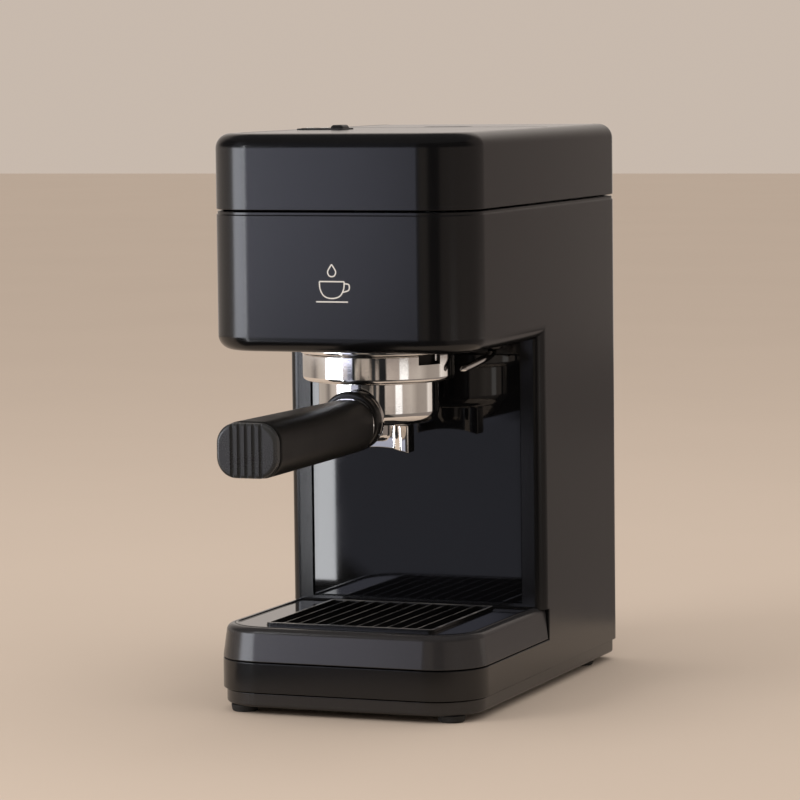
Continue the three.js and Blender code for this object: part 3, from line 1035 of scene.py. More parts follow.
def dress(
    piece: bpy.types.Object, look: str, body: str, replaces: Sequence[str] = (),
    sharp: float = 30.0,
) -> bpy.types.Object:
    """Gives a finished piece its shading, material and body, and hides the CAD nodes it stands for.

    Args:
        piece: the piece, in place.
        look: key of its finish.
        body: the CAD body that it moves with.
        replaces: CAD nodes that it stands for.
        sharp: edges that turn by more than this many degrees stay sharp.

    Returns:
        The piece.
    """
    mesh = piece.data
    mesh.shade_smooth()
    mesh.set_sharp_from_angle(angle=math.radians(sharp))
    weigh = piece.modifiers.new("weigh", "WEIGHTED_NORMAL")
    weigh.keep_sharp = True
    weigh.weight = 60
    mesh.materials.clear()
    mesh.materials.append(finish(look))
    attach(piece, body)
    if replaces:
        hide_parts(*replaces)
    log.info("%s: %d faces, rides on %s", piece.name, len(mesh.polygons), body)
    return piece


# ------------------------------------------------------------------------------ casing
@dataclass
class Casing:
    """Head, column, foot, top cover and base plate."""

    half: float = 75.0
    depth: float = 250.0
    front_corner: float = 28.0
    rear_corner: float = 12.0
    wall: float = 2.5
    head_bottom: float = 193.3
    head_round: float = 8.0
    seam: float = 267.5
    reveal: float = 1.9
    top: float = 308.0
    column_front: float = 117.0
    column_round: float = 6.0
    tray_back: float = 124.0
    group_y: float = 64.5

    def plan(self, inset: float = 0.0) -> Array:
        """The casing's outline.

        Args:
            inset: how far it is shrunk.

        Returns:
            (n, 2) points.
        """
        return outline(
            -self.half, self.half, 0.0, self.depth, self.front_corner, self.rear_corner, inset, 24
        )

    def build(self) -> None:
        """Builds every piece of the casing."""
        self.housing()
        self.cover()
        self.base()
        self.rear()

    def housing(self) -> None:
        """The C-shaped housing: head, column and foot joined, then hollowed."""
        shoulder = self.seam - self.reveal
        wall = rounded_wall(self.head_bottom, shoulder - 0.3, self.head_round, 0.35, 14)
        lip = np.array([[shoulder, 0.55], [self.seam - 0.75, 0.55], [self.seam - 0.45, 0.85]])
        head = stack("housing_shell", self.plan, np.concatenate([wall, lip]))
        column = stack(
            "column",
            lambda i: outline(
                -self.half, self.half, self.column_front, self.depth, self.column_round,
                self.rear_corner, i, 12,
            ),
            np.array([[45.2, 0.0], [230.0, 0.0]]),
        )
        foot_block = stack(
            "foot",
            lambda i: outline(
                -self.half, self.half, self.tray_back + 0.6, self.depth, 0.6, self.rear_corner, i,
                12,
            ),
            np.array([[12.1, 0.0], [60.0, 0.0]]),
        )
        band = stack("band", self.plan, rounded_wall(12.1, 28.0, 0.45, 0.45, 3))
        work(head, Join.ADD, column, foot_block, band)
        w = self.wall
        head_room = stack("head_room", lambda i: self.plan(w), np.array([[197.0, 0], [290.0, 0]]))
        column_room = stack(
            "column_room",
            lambda i: outline(
                -self.half + w, self.half - w, self.tray_back + 0.6 + w, self.depth - w, 2.0,
                self.rear_corner - w,
            ),
            np.array([[-5.0, 0], [214.0, 0]]),
        )
        foot_room = stack("foot_room", lambda i: self.plan(w), np.array([[-6.0, 0], [25.4, 0]]))
        pocket = block("pocket", -62, 62, 100, 120.9, 48.4, self.head_bottom - 0.3, 0.6)
        window = block("window", -61, 61, self.depth - 5, self.depth + 5, 15, 262, 0.5)
        ring_hole = lathe(
            "ring_hole", [(0, 188), (37.6, 188), (37.6, 204), (0, 204)], 0, self.group_y, 96
        )
        wand_hole = lathe("wand_hole", [(0, 188), (6.3, 188), (6.3, 204), (0, 204)], 50, 106, 48)
        work(
            head, Join.CUT, head_room, column_room, foot_room, pocket, window, ring_hole, wand_hole
        )
        dress(head, "shell", "machine", ["main_housing"], 28)

    def cover(self) -> None:
        """The top cover with its shallow pockets, key well and tank mouth."""
        seam = self.seam
        foot = np.array([[seam + 0.35, 0.7], [seam + 0.55, 0.25], [seam + 0.85, 0.0]])
        dome = rounded_wall(seam + 1.2, self.top, 0.0, 8.0, 16)
        shell = stack("cover_shell", self.plan, np.concatenate([foot, dome]))
        room = stack(
            "room",
            lambda i: self.plan(i + self.wall),
            rounded_wall(seam - 20, self.top - 3.4, 0.0, 5.5, 8),
        )
        cups = block("cups", -64.8, 64.8, 27.7, 161.0, self.top - 2.2, self.top + 5, 5.2)
        lid = block("lid", -64.8, 64.8, 166.0, 243.0, self.top - 2.2, self.top + 5, 3.2)
        mouth = block("mouth", -62, 62, 168.5, 240.5, self.top - 20, self.top, 5)
        keys = block("keys", -61, -34.5, 101.5, 116.5, self.top - 20, self.top, 0.5)
        work(shell, Join.CUT, room, cups, lid, mouth, keys)
        dress(shell, "shell", "machine", ["top_cover"], 28)

    def base(self) -> None:
        """The base plate, its cavity open below, with small rounded lips."""
        wall = rounded_wall(4.0, 11.5, 1.6, 0.4, 5)
        plate = stack("base_shell", lambda i: self.plan(i + 1.8), wall)
        hollow = stack("hollow", lambda i: self.plan(4.4), np.array([[6.5, 0], [20.0, 0]]))
        work(plate, Join.CUT, hollow)
        dress(plate, "base", "machine", ["base_plate"], 28)

    def rear(self) -> None:
        """The rear cover with rounded vent slots and the opening for the mains inlet."""
        back = self.depth
        cover = block("rear_panel", -60.7, 60.7, back - 2.5, back - 0.2, 15.3, 261.7, 0.4)
        tools = [
            block(f"vent_{i}", -30, 30, back - 9, back + 4, z, z + 3, 0.3)
            for i, z in enumerate(range(200, 249, 7))
        ]
        tools.append(block("inlet", 26, 54, back - 9, back + 4, 32, 52, 0.3))
        work(cover, Join.CUT, *tools)
        soften(cover, 0.35, 2, 50)
        dress(cover, "matt", "machine", ["rear_cover"], 30)


@dataclass
class TopFittings:
    """Cup plate, tank lid, and the switch plate with two keys and the power rocker."""

    top: float = 308.0
    pocket: float = 2.2
    plate_left: float = -61.5
    plate_right: float = -34.0
    plate_front: float = 100.0
    plate_back: float = 118.0
    brew_x: float = -56.6
    steam_x: float = -47.7
    rocker_x: float = -39.0
    key_y: float = 109.0
    key_half: float = 3.7
    key_deep: float = 6.0

    def build(self) -> None:
        """Builds the fittings of the top cover."""
        bottom, flush = self.top - self.pocket + 0.3, self.top - 0.05
        cups = block("cup_shelf", -64.5, 64.5, 28.0, 160.7, bottom, flush, 5.0, 0.45, 8)
        gap = block(
            "gap", self.plate_left - 0.3, self.plate_right + 0.3, self.plate_front - 0.3,
            self.plate_back + 0.3, self.top - 9, self.top + 9, 2.2,
        )
        work(cups, Join.CUT, gap)
        dress(cups, "plate", "machine", ["cup_plate"])
        lid = block("tank_cover", -64.5, 64.5, 166.3, 242.3, self.top - 1.8, flush, 3.0, 0.45, 8)
        notch = block("notch", -14, 14, 169.3, 179.3, self.top - 0.95, self.top + 3, 4.0, 0.0, 10)
        work(lid, Join.CUT, notch)
        dress(lid, "plate", "lid", ["tank_lid"])
        plate = block(
            "switch_plate", self.plate_left, self.plate_right, self.plate_front, self.plate_back,
            bottom, self.top + 0.7, 2.0, 0.5, 8,
        )
        places = (self.brew_x, self.steam_x, self.rocker_x)
        work(plate, Join.CUT, *[self.key_shape("hole", x, 0.4, 290, 320) for x in places])
        dress(plate, "matt", "machine", ["control_plate"])
        for name, x in (("brew_key", self.brew_x), ("steam_key", self.steam_x)):
            key = self.key_shape(name + "_cap", x, 0.0, 301.0, self.top + 0.9, 0.5)
            dress(key, "keys", name, [name])
        rocker = self.rocker()
        dress(rocker, "keys", "power_rocker", ["power_rocker"], 40)
        self.symbols()

    def key_shape(
        self, name: str, x: float, margin: float, z0: float, z1: float, edge: float = 0.0
    ) -> bpy.types.Object:
        """The body of a key, or its hole.

        Args:
            name: the object's name.
            x: middle of the key.
            margin: how much larger than the key it is on every side.
            z0, z1: foot and head.
            edge: radius of its foot's and its head's rounds.

        Returns:
            The closed object.
        """
        w, d = self.key_half + margin, self.key_deep + margin
        return block(name, x - w, x + w, self.key_y - d, self.key_y + d, z0, z1, 2.0, edge, 8)

    def rocker(self) -> bpy.types.Object:
        """The power rocker, whose top is an arch over y.

        It stands up along a rounded wall, and every point above the cover drops by 0.6 v^2, where
        v runs from -1 to 1 from the front of the key to its back.

        Returns:
            The closed object.
        """
        x, w, d = self.rocker_x, self.key_half, self.key_deep
        wall = rounded_wall(304.6, self.top + 2.8, 0.0, 1.9, 8)
        rings = []
        for height, inset in wall:
            flat = outline(x - w, x + w, self.key_y - d, self.key_y + d, 2.0, 2.0, inset, 8)
            v = (flat[:, 1] - self.key_y) / d
            drop = np.where(height > self.top, 0.6 * v**2, 0.0)
            rings.append(np.column_stack([flat, height - drop]))
        return loft("power_rocker_cap", np.array(rings))

    def symbols(self) -> None:
        """Printed signs on the two flat keys: a cup on one, three steam waves on the other."""
        z = self.top + 0.92
        rim = [(-58.6, 110.4), (-58.3, 108.2), (-57.0, 107.2), (-55.9, 107.9), (-55.4, 110.4)]
        cup = sweep(
            "cup", smooth_path([(*point, z) for point in rim], 30), np.full(30, 0.17), 8, (0, 0, 1)
        )
        dress(fuse("brew_sign", [cup]), "mark", "brew_key")
        wave = ((0.0, 106.6), (0.5, 108.0), (-0.4, 109.6), (0.2, 111.2))
        waves = [
            sweep(
                "wave", smooth_path([(x + a, b, z) for a, b in wave], 24), np.full(24, 0.16), 8,
                (0, 0, 1),
            )
            for x in (-49.3, -47.8, -46.3)
        ]
        dress(fuse("steam_sign", waves), "mark", "steam_key")


@dataclass
class Column:
    """The polished splash panel let into the column."""

    half: float = 61.7
    front: float = 118.4
    back: float = 120.6
    foot: float = 48.7
    head: float = 184.8

    def build(self) -> None:
        """Builds the panel, a sheet with a fine ground edge."""
        panel = block(
            "splash_sheet", -self.half, self.half, self.front, self.back, self.foot, self.head, 0.5
        )
        soften(panel, 0.4, 3, 50)
        dress(panel, "panel", "machine", ["splash_panel"])


@dataclass
class DripTray:
    """Outer tray, glossy deck and slotted grid."""

    half: float = 75.0
    back: float = 124.0
    bottom: float = 28.6
    rim: float = 46.4
    round: float = 4.0
    lean: float = 2.0
    grid_half: float = 48.0
    grid_front: float = 17.0
    grid_back: float = 111.0
    grid_top: float = 47.5
    slots: int = 11
    border: float = 2.3
    bar: float = 1.2

    def build(self) -> None:
        """Builds the three pieces of the tray."""
        self.tray()
        self.deck()
        self.grid()

    def tray(self) -> None:
        """The tray's wall: a small foot round, a larger head round, and a stepped basin.

        The wall also leans inwards in a straight line from its foot to the head's round.
        """

        def plan(inset: float) -> Array:
            """The tray's outline, shrunk by inset everywhere but at the back."""
            return outline(-self.half, self.half, 0.0, self.back + inset, 28.0, 2.6, inset, 24)

        wall = rounded_wall(self.bottom, self.rim, 0.5, self.round, 10)
        rise = (wall[:, 0] - self.bottom) / (self.rim - self.round - self.bottom)
        wall[:, 1] += self.lean * np.clip(rise, 0.0, 1.0)
        shell = stack("tray_shell", plan, wall)
        seat = stack(
            "seat",
            lambda i: outline(-68.7, 68.7, 6.3, 116.8, 22.0, 1.0, i, 24),
            np.array([[42.4, 0], [60.0, 0]]),
        )
        basin = stack(
            "basin", lambda i: outline(-66.5, 66.5, 8.5, 114.5, 20.0, 6.0, i, 16),
            rounded_wall(31.0, 60.0, 2.5, 0.0, 5),
        )
        work(shell, Join.CUT, seat, basin)
        behind = block("behind", -90, 90, 116.7, 140, 45.0, 60, 0.2)
        work(shell, Join.CUT, behind)
        soften(shell, 0.3, 2, 50)
        dress(shell, "tray", "tray", ["tray_body"], 30)

    def deck(self) -> None:
        """The deck: a flat glossy sheet with a bead round its rim and a seat for the grid."""
        bead = np.array(
            [
                [42.7, 0.0], [46.0, 0.0], [46.45, 0.2], [46.65, 0.6], [46.6, 1.0], [46.3, 1.4],
                [45.95, 1.7], [45.85, 2.3],
            ]
        )
        deck = stack(
            "deck_frame", lambda i: outline(-68.5, 68.5, 6.5, 116.4, 21.8, 1.0, i, 24), bead
        )
        opening = block("opening", -46, 46, 19, 109, 30, 60, 3)
        seat = block("grid_seat", -48.4, 48.4, 16.6, 111.4, 43.6, 60, 3.4)
        work(deck, Join.CUT, opening, seat)
        dress(deck, "deck", "tray", ["tray_deck"], 40)

    def grid(self) -> None:
        """The grid: a rounded frame crossed by thin bars that run front to back."""
        half, front, back = self.grid_half, self.grid_front, self.grid_back
        plate = block("grid_plate", -half, half, front, back, 43.95, self.grid_top, 3.0, 0.0, 8)
        pitch = (2 * (half - self.border) + self.bar) / self.slots
        front, back = front + self.border, back - self.border
        lefts = [-half + self.border + i * pitch for i in range(self.slots)]
        holes = [
            block(f"slot_{i}", x, x + pitch - self.bar, front, back, 40, 52, 0.8, 0.0, 4)
            for i, x in enumerate(lefts)
        ]
        work(plate, Join.CUT, fuse("slots", holes))
        soften(plate, 0.55, 3, 50)
        dress(plate, "grid", "grid", ["drip_grid"], 35)


# ------------------------------------------------------------------------------ brewing group
@dataclass
class Group:
    """The fixed flange and group head, and the portafilter that locks onto them."""

    y: float = 64.5
    collar: float = 40.8
    collar_low: float = 175.0
    collar_high: float = 189.6
    bowl: float = 32.3
    bowl_low: float = 152.0
    grip_z: float = 153.5
    neck_z: float = 155.4
    neck_end: float = 35.3
    ring_radius: float = 16.3
    grip_start: float = 44.0
    grip_end: float = 173.1
    notch_turns: tuple[float, float] = (-26, 154)
    grooves: int = 5
    groove_pitch: float = 3.9

    def build(self) -> None:
        """Builds the group and the portafilter."""
        self.flange()
        self.screen()
        self.holder()
        self.spout()
        self.handle()

    def flange(self) -> None:
        """The bright flange under the head."""
        profile = [
            (37.7, 190.1), (41.4, 190.0), (42.1, 190.3), (42.45, 191.0), (42.45, 192.2),
            (42.1, 193.0), (37.7, 193.0),
        ]
        ring = lathe("flange_ring", profile, 0, self.y, 160)
        dress(ring, "chrome", "machine", ["group_flange"], 60)

    def screen(self) -> None:
        """The shower screen: a pressed disc with rings of small holes."""
        profile = [
            (3.7, 178.7), (25.0, 178.7), (25.4, 179.1), (25.4, 180.8), (24.6, 180.8),
            (24.5, 179.4), (3.7, 179.4),
        ]
        disc = lathe("shower_disc", profile, 0, self.y, 96)
        pin = [(0, 177), (0.55, 177), (0.55, 182), (0, 182)]
        holes = []
        for ring, count in ((8.0, 12), (12.5, 20), (17.0, 28), (21.5, 36)):
            for k in range(count):
                a = 2 * math.pi * k / count
                x, y = ring * math.cos(a), self.y + ring * math.sin(a)
                holes.append(lathe("hole", pin, x, y, 6))
        work(disc, Join.CUT, fuse("holes", holes))
        dress(disc, "screen", "machine", ["shower_screen"], 35)

    def section(self, reach: float, w: float, h: float, corner: float, z: float) -> Array:
        """A rounded rectangle across the handle, which points straight ahead.

        Args:
            reach: distance from the brewing axis.
            w, h: half width and half height.
            corner: corner radius.
            z: height of its middle.

        Returns:
            (n, 3) points.
        """
        corner = min(corner, w, h) - 1e-3
        flat = outline(-w, w, -h, h, corner, corner, 0.0, 14)
        return np.column_stack([flat[:, 0], np.full(len(flat), self.y - reach), flat[:, 1] + z])

    def handle_loft(
        self, name: str, rows: Sequence[tuple[float, float, float, float]], z: float
    ) -> bpy.types.Object:
        """Skins sections across the handle.

        Args:
            name: the piece's name.
            rows: reach, half width, half height and corner radius of each section.
            z: height of their middles.

        Returns:
            The closed object.
        """
        return loft(name, np.array([self.section(*row, z) for row in rows]))

    def round_loft(
        self, name: str, rows: Sequence[tuple[float, float]], z: float
    ) -> bpy.types.Object:
        """Skins round sections across the handle, given as rows of reach and radius."""
        return self.handle_loft(name, [(reach, r, r, r) for reach, r in rows], z)

    def holder(self) -> None:
        """Collar and bowl turned in one, with the neck, bayonet notches and stud hole."""
        c, b = self.collar, self.bowl

        def fillet(
            cx: float, cz: float, r: float, a0: float, a1: float, n: int
        ) -> list[tuple[float, float]]:
            """An arc of the profile.

            Args:
                cx, cz: radius and height of the arc's centre.
                r: the arc's radius.
                a0, a1: the angles, in degrees, where it starts and ends.
                n: how many points it has.

            Returns:
                Its points as radius and height.
            """
            t = np.radians(np.linspace(a0, a1, n))
            return [(cx + r * math.cos(a), cz + r * math.sin(a)) for a in t]

        profile = [(0.0, self.bowl_low)]
        profile += fillet(b - 6.6, self.bowl_low + 6.6, 6.6, -90, 0, 14)
        profile += [(b, self.collar_low - 0.9)]
        profile += fillet(b + 0.9, self.collar_low - 0.9, 0.9, 180, 90, 5)
        profile += fillet(c - 2.6, self.collar_low + 2.6, 2.6, -90, 0, 10)
        profile += fillet(c - 0.7, self.collar_high - 0.7, 0.7, 0, 90, 5)
        profile += [
            (37.6, self.collar_high), (37.6, 186.2), (39.4, 186.2), (39.4, 181.4), (36.4, 181.4),
            (36.4, 177.8), (30.6, 177.8), (30.6, 157.0), (28.0, 154.6), (0.0, 154.6),
        ]
        body = lathe("portafilter_holder", profile, 0, self.y, 192)
        neck = self.round_loft(
            "neck",
            [
                (7.0, 5.2), (12.0, 6.6), (17.0, 8.2), (22.0, 10.2), (26.0, 12.3), (29.0, 14.2),
                (31.0, 15.3), (32.5, 15.7), (34.6, 15.7), (35.0, 15.5), (self.neck_end, 15.0),
            ],
            self.neck_z,
        )
        hollow = [(0, 154.7), (27.9, 154.7), (30.5, 157), (30.5, 179), (0, 179)]
        inside = lathe("inside", hollow, 0, self.y, 96)
        work(neck, Join.CUT, inside)
        work(body, Join.ADD, neck)
        notches = []
        for turn in self.notch_turns:
            notch = block("notch", 36.9, 45.0, -7.8, 7.8, 184.6, 195.0, 0.8)
            turn_and_place(notch, turn, "Z", (0.0, self.y, 0.0))
            notches.append(notch)
        stud = self.round_loft("stud", [(32.6, 4.4), (60.0, 4.4)], self.grip_z)
        work(body, Join.CUT, stud, *notches)
        dress(body, "chrome", "portafilter", ["portafilter_body"], 32)

    def spout(self) -> None:
        """The double spout: a thin arched web that swells into a block with an outlet at each end.

        At the place t across it, from -1 to 1, the web's half depth is 2.6 + 2.3 s and its foot is
        at 138.1 - 2.6 t^2, where s is a smooth step of |t| from 0.48 to 0.8. Its head is at
        151.1 - 0.5 t^2, and all three pull in a little at the ends.
        """
        reach = 18.3
        tip = np.array([0.97, 0.99, 1.0])
        t = np.concatenate([-tip[::-1], np.linspace(-0.94, 0.94, 45), tip])
        pull = np.interp(np.abs(t), [0.0, 0.94, 0.97, 0.99, 1.0], [0.0, 0.0, 0.1, 0.3, 0.6])
        u = np.clip((np.abs(t) - 0.48) / 0.32, 0.0, 1.0)
        depth = 2.6 + 2.3 * u * u * (3 - 2 * u) - pull
        foot = 138.1 - 2.6 * t**2 + pull
        head = 151.1 - 0.5 * t**2 - pull
        rings = []
        for k in range(len(t)):
            flat = outline(-depth[k], depth[k], foot[k], head[k], 0.7, 0.7, 0.0, 5)
            place = np.full(len(flat), reach * t[k])
            rings.append(np.column_stack([place, self.y + flat[:, 0], flat[:, 1]]))
        web = loft("spout_arch", np.array(rings))
        hub = lathe(
            "hub",
            [
                (0, 141.6), (4.4, 141.6), (6.0, 142.2), (7.2, 143.6), (8.0, 145.6), (8.0, 151.7),
                (0, 151.7),
            ],
            0, self.y, 64,
        )
        bore = [(0, 130.0), (2.4, 130.0), (2.4, 141.0), (0, 141.0)]
        outlets = [lathe("outlet", bore, x, self.y, 32) for x in (-15.4, 15.4)]
        work(web, Join.ADD, hub)
        work(web, Join.CUT, *outlets)
        dress(web, "chrome", "portafilter", ["double_spout"], 40)

    def handle(self) -> None:
        """Black collar, bright washer, grip and grooved end cap.

        The grip widens by 1.9 share^0.7 and grows taller by 0.3 share, where share runs from 0 to 1
        along it, and a quarter round of radius 1.5 closes each of its ends.
        """
        n, r, g = self.neck_end, self.ring_radius, self.grip_start
        ring = self.round_loft(
            "handle_ring",
            [
                (n + 0.3, r - 1.6), (n + 0.5, r - 0.6), (n + 1.2, r - 0.1), (n + 2.2, r),
                (g - 1.9, r), (g - 1.1, r - 0.3), (g - 0.6, r - 1.0), (g - 0.5, r - 2.2),
            ],
            self.neck_z,
        )
        dress(ring, "collar", "portafilter", ["handle_collar"], 40)
        washer = self.handle_loft(
            "handle_washer",
            [
                (g - 0.35, 12.5, 12.3, 12.2), (g - 0.25, 14.3, 13.9, 13.2),
                (g + 0.1, 14.6, 14.2, 13.4), (g + 0.4, 14.3, 13.9, 13.2),
                (g + 0.5, 12.5, 12.3, 12.2),
            ],
            self.grip_z + 0.5,
        )
        dress(washer, "chrome", "portafilter", (), 40)
        s, e = g + 0.8, self.grip_end
        tip = np.array([0, 0.15, 0.45, 0.9, 1.5])
        reaches = np.concatenate([s + tip, np.linspace(s + 4, e - 4, 36), e - tip[::-1]])
        rows = []
        for reach in reaches:
            share = (reach - s) / (e - s)
            close = min(reach - s, e - reach, 1.5)
            pull = 1.5 - math.sqrt(max(0.0, 1.5**2 - (1.5 - close) ** 2))
            w = 14.9 + 1.9 * share**0.7 - pull
            h = 13.9 + 0.3 * share - pull
            rows.append((reach, w, h, 12.4 - 1.6 * share - pull * 0.8))
        grip = self.handle_loft("handle_grip_body", rows, self.grip_z)
        dress(grip, "grip", "portafilter", ["handle_grip"], 40)
        self.end_cap()

    def end_cap(self) -> None:
        """The end cap: a rounded block whose end has round-bottomed upright grooves.

        The block pulls in by 1.9 (1 - cos a) while it reaches out by 1.9 sin a. Each groove is an
        upright rod of elliptic section that is cut from its end.
        """
        s = self.grip_end + 0.4
        rows = [(s, 15.6, 13.0, 9.6), (s + 0.25, 16.1, 13.5, 10.1), (s + 0.8, 16.4, 13.8, 10.4)]
        for a in np.linspace(0, math.pi / 2, 8):
            pull = 1.9 * (1 - math.cos(a))
            rows.append((s + 3.5 + 1.9 * math.sin(a), 16.4 - pull, 13.8 - pull, 10.4 - pull * 0.6))
        cap = self.handle_loft("handle_cap", rows, self.grip_z)
        face = self.y - (s + 5.4)
        turn = np.linspace(0, 2 * math.pi, 24, endpoint=False)
        sides = face + 0.15 + 1.15 * np.sin(turn)
        grooves = []
        for k in range(self.grooves):
            x = (k - (self.grooves - 1) / 2) * self.groove_pitch + np.cos(turn)
            ends = [
                np.column_stack([x, sides, np.full(len(turn), z)])
                for z in (self.grip_z - 20, self.grip_z + 20)
            ]
            grooves.append(loft("groove", np.array(ends)))
        work(cap, Join.CUT, fuse("grooves", grooves))
        soften(cap, 0.4, 3, 35)
        dress(cap, "cap", "portafilter", ["handle_end_cap"], 40)


@dataclass
class SteamWand:
    """The short curved steam wand and its swivel socket."""

    x: float = 50.0
    y: float = 106.0

    def build(self) -> None:
        """Builds the wand, thick at its elbow and slimmer at its tip, and the socket."""
        x, y = self.x, self.y
        path = smooth_path(
            [
                (x, y, 198), (x, y, 191), (x + 0.2, y - 1.2, 187.6), (x + 0.7, y - 7, 185.9),
                (x + 1, y - 17, 184.6), (x - 0.5, y - 29, 182.7), (x - 3.2, y - 40, 180.6),
            ],
            120,
        )
        s = np.linspace(0, 1, 120)
        radius = 2.35 - 0.5 * s**2
        radius[-4:] = [1.7, 1.5, 1.2, 0.8]
        wand = sweep("wand_tube", path, radius, 40)
        dress(wand, "chrome", "wand", ["steam_wand"], 50)
        profile = [
            (3.4, 189.2), (4.9, 189.0), (5.6, 189.5), (6.1, 190.6), (6.1, 199), (3.4, 199),
        ]
        socket = lathe("wand_seat", profile, x, y, 64)
        dress(socket, "collar", "machine", ["wand_socket"], 40)


@dataclass
class Badge:
    """A plain printed sign on the head: a cup with a drop above it."""

    z: float = 230.0
    size: float = 20.0

    def build(self) -> None:
        """Builds the sign from strokes: bowl, rim, ear, saucer and drop.

        They are flattened to a fifth of their depth and stand a hair proud of the head.
        """
        s, y = self.size / 20.0, -0.02

        def line(count: int, *points: tuple[float, float]) -> Array:
            """A smooth curve in the plane of the head, given by places from the sign's middle.

            Args:
                count: how many places to return.
                points: x and z of the places that it passes, on a sign 20 mm wide.

            Returns:
                (count, 3) places.
            """
            return smooth_path([(a * s, y, self.z + b * s) for a, b in points], count)

        lines = (
            line(60, (-7, 1), (-6.6, -3), (-4.4, -6.6), (0, -7.8), (4.4, -6.6), (6.6, -3), (7, 1)),
            line(16, (-7, 1), (-3, 1), (3, 1), (7, 1)),
            line(30, (6.9, 0), (9.6, -0.6), (9.4, -3.4), (5.9, -4.6)),
            line(16, (-9, -9.6), (-3, -9.6), (3, -9.6), (9, -9.6)),
            line(48, (0, 10), (-2.2, 6.4), (-1.6, 4.2), (0, 3.6), (1.6, 4.2), (2.2, 6.4), (0, 10)),
        )
        strokes = [
            sweep("stroke", path, np.full(len(path), 0.36 * s), 8, (0, 1, 0)) for path in lines
        ]
        sign = fuse("head_sign", strokes)
        co = np.empty(len(sign.data.vertices) * 3)
        sign.data.vertices.foreach_get("co", co)
        co = co.reshape(-1, 3)
        co[:, 1] = FRONT + (co[:, 1] - FRONT - y * MM) * 0.2 - 0.00003
        sign.data.vertices.foreach_set("co", co.ravel())
        dress(sign, "mark", "machine", (), 60)


@dataclass
class SmallParts:
    """Feet, screws and every inner node that keeps its CAD shape."""

    feet: tuple[tuple[str, float, float], ...] = (
        ("front_left", -59, 14), ("front_right", 59, 14), ("rear_left", -62, 215),
        ("rear_right", 62, 215),
    )
    screws: tuple[tuple[str, float, float], ...] = (
        ("top_left", -56, 255), ("top_right", 56, 255), ("bottom_left", -56, 22),
        ("bottom_right", 56, 22),
    )

    def build(self) -> None:
        """Builds feet and screws, and dresses the remaining CAD nodes."""
        profile = [
            (3.4, 0.3), (3.7, 0.0), (5.9, 0.0), (6.6, 0.3), (7.0, 0.9), (7.4, 3.3), (7.4, 3.7),
            (0, 3.7), (0, 2.6), (3.4, 2.6),
        ]
        for side, x, y in self.feet:
            pad = lathe("pad_" + side, profile, x, y, 64)
            dress(pad, "rubber", "machine", ["foot_" + side], 40)
        for corner, x, z in self.screws:
            self.screw("rear_screw_" + corner, x, z)
        for name, look in (
            ("mains_inlet", "matt"), ("group_head", "dark_cast"), ("brew_gasket", "rubber"),
            ("screen_screw", "steel"), ("boiler_base", "brass"), ("boiler_cap", "brass"),
            ("thermostat", "matt"), ("solenoid_valve", "matt"), ("water_tank", "tank"),
            ("tank_valve", "white"), ("tank_seat", "matt"), ("pump_body", "cast"),
            ("pump_head", "white"), ("pump_mount_front", "rubber"), ("pump_mount_rear", "rubber"),
            ("suction_hose", "white"), ("brew_pipe", "steel"), ("steam_pipe", "steel"),
            ("filter_basket", "screen"), ("basket_spring", "steel"), ("handle_bolt", "steel"),
            ("control_board", "board"), ("foot_screw_front_left", "steel"),
            ("foot_screw_front_right", "steel"), ("foot_screw_rear_left", "steel"),
            ("foot_screw_rear_right", "steel"),
        ):
            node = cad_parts[name]
            node.data.materials.clear()
            node.data.materials.append(finish(look))
            log.info("%s keeps its CAD shape", name)

    def screw(self, node: str, x: float, z: float) -> None:
        """A pan-head screw with a cross recess, facing backwards.

        Args:
            node: the CAD node that it stands for.
            x, z: the screw's place on the rear cover.
        """
        profile = [
            (0, 0.0), (3.55, 0.0), (3.6, 0.25), (3.2, 0.75), (2.2, 1.1), (1.0, 1.22), (0, 1.25),
        ]
        head = lathe(node + "_head", profile, 0, 0, 48)
        bars = [
            block("bar", -2.0, 2.0, -0.42, 0.42, 0.55, 3.0, 0.15),
            block("bar", -0.42, 0.42, -2.0, 2.0, 0.55, 3.0, 0.15),
        ]
        work(head, Join.CUT, *bars)
        turn_and_place(head, -90.0, "X", (x, 250.1, z))
        dress(head, "steel", "machine", [node], 35)


# ------------------------------------------------------------------------------ studio
# The round screen as the painted casing sees it: azimuth in degrees, then colour.
SCREEN_TONES = (
    (-180, (0.78, 0.7, 0.64)), (-150, (0.78, 0.7, 0.64)), (-128, (0.5, 0.43, 0.38)),
    (-80, (0.6, 0.53, 0.48)), (-62, (0.8, 0.76, 0.74)), (-59, (5.2, 5.3, 5.7)),
    (-37, (5.2, 5.4, 5.9)), (-34, (1.5, 1.53, 1.88)), (-19.2, (1.4, 1.43, 1.78)),
    (-17.8, (0.03, 0.03, 0.03)), (-12, (0.03, 0.027, 0.025)), (-10, (0.3, 0.26, 0.22)),
    (7, (0.32, 0.27, 0.23)), (9, (0.02, 0.02, 0.02)), (31, (0.02, 0.02, 0.02)),
    (34, (0.24, 0.2, 0.175)), (85, (0.3, 0.25, 0.22)), (150, (0.215, 0.178, 0.16)),
    (158, (0.22, 0.18, 0.162)), (161.5, (0.3, 0.25, 0.225)), (163, (0.4, 0.34, 0.3)),
    (168, (0.55, 0.48, 0.43)), (180, (0.78, 0.7, 0.64)),
)

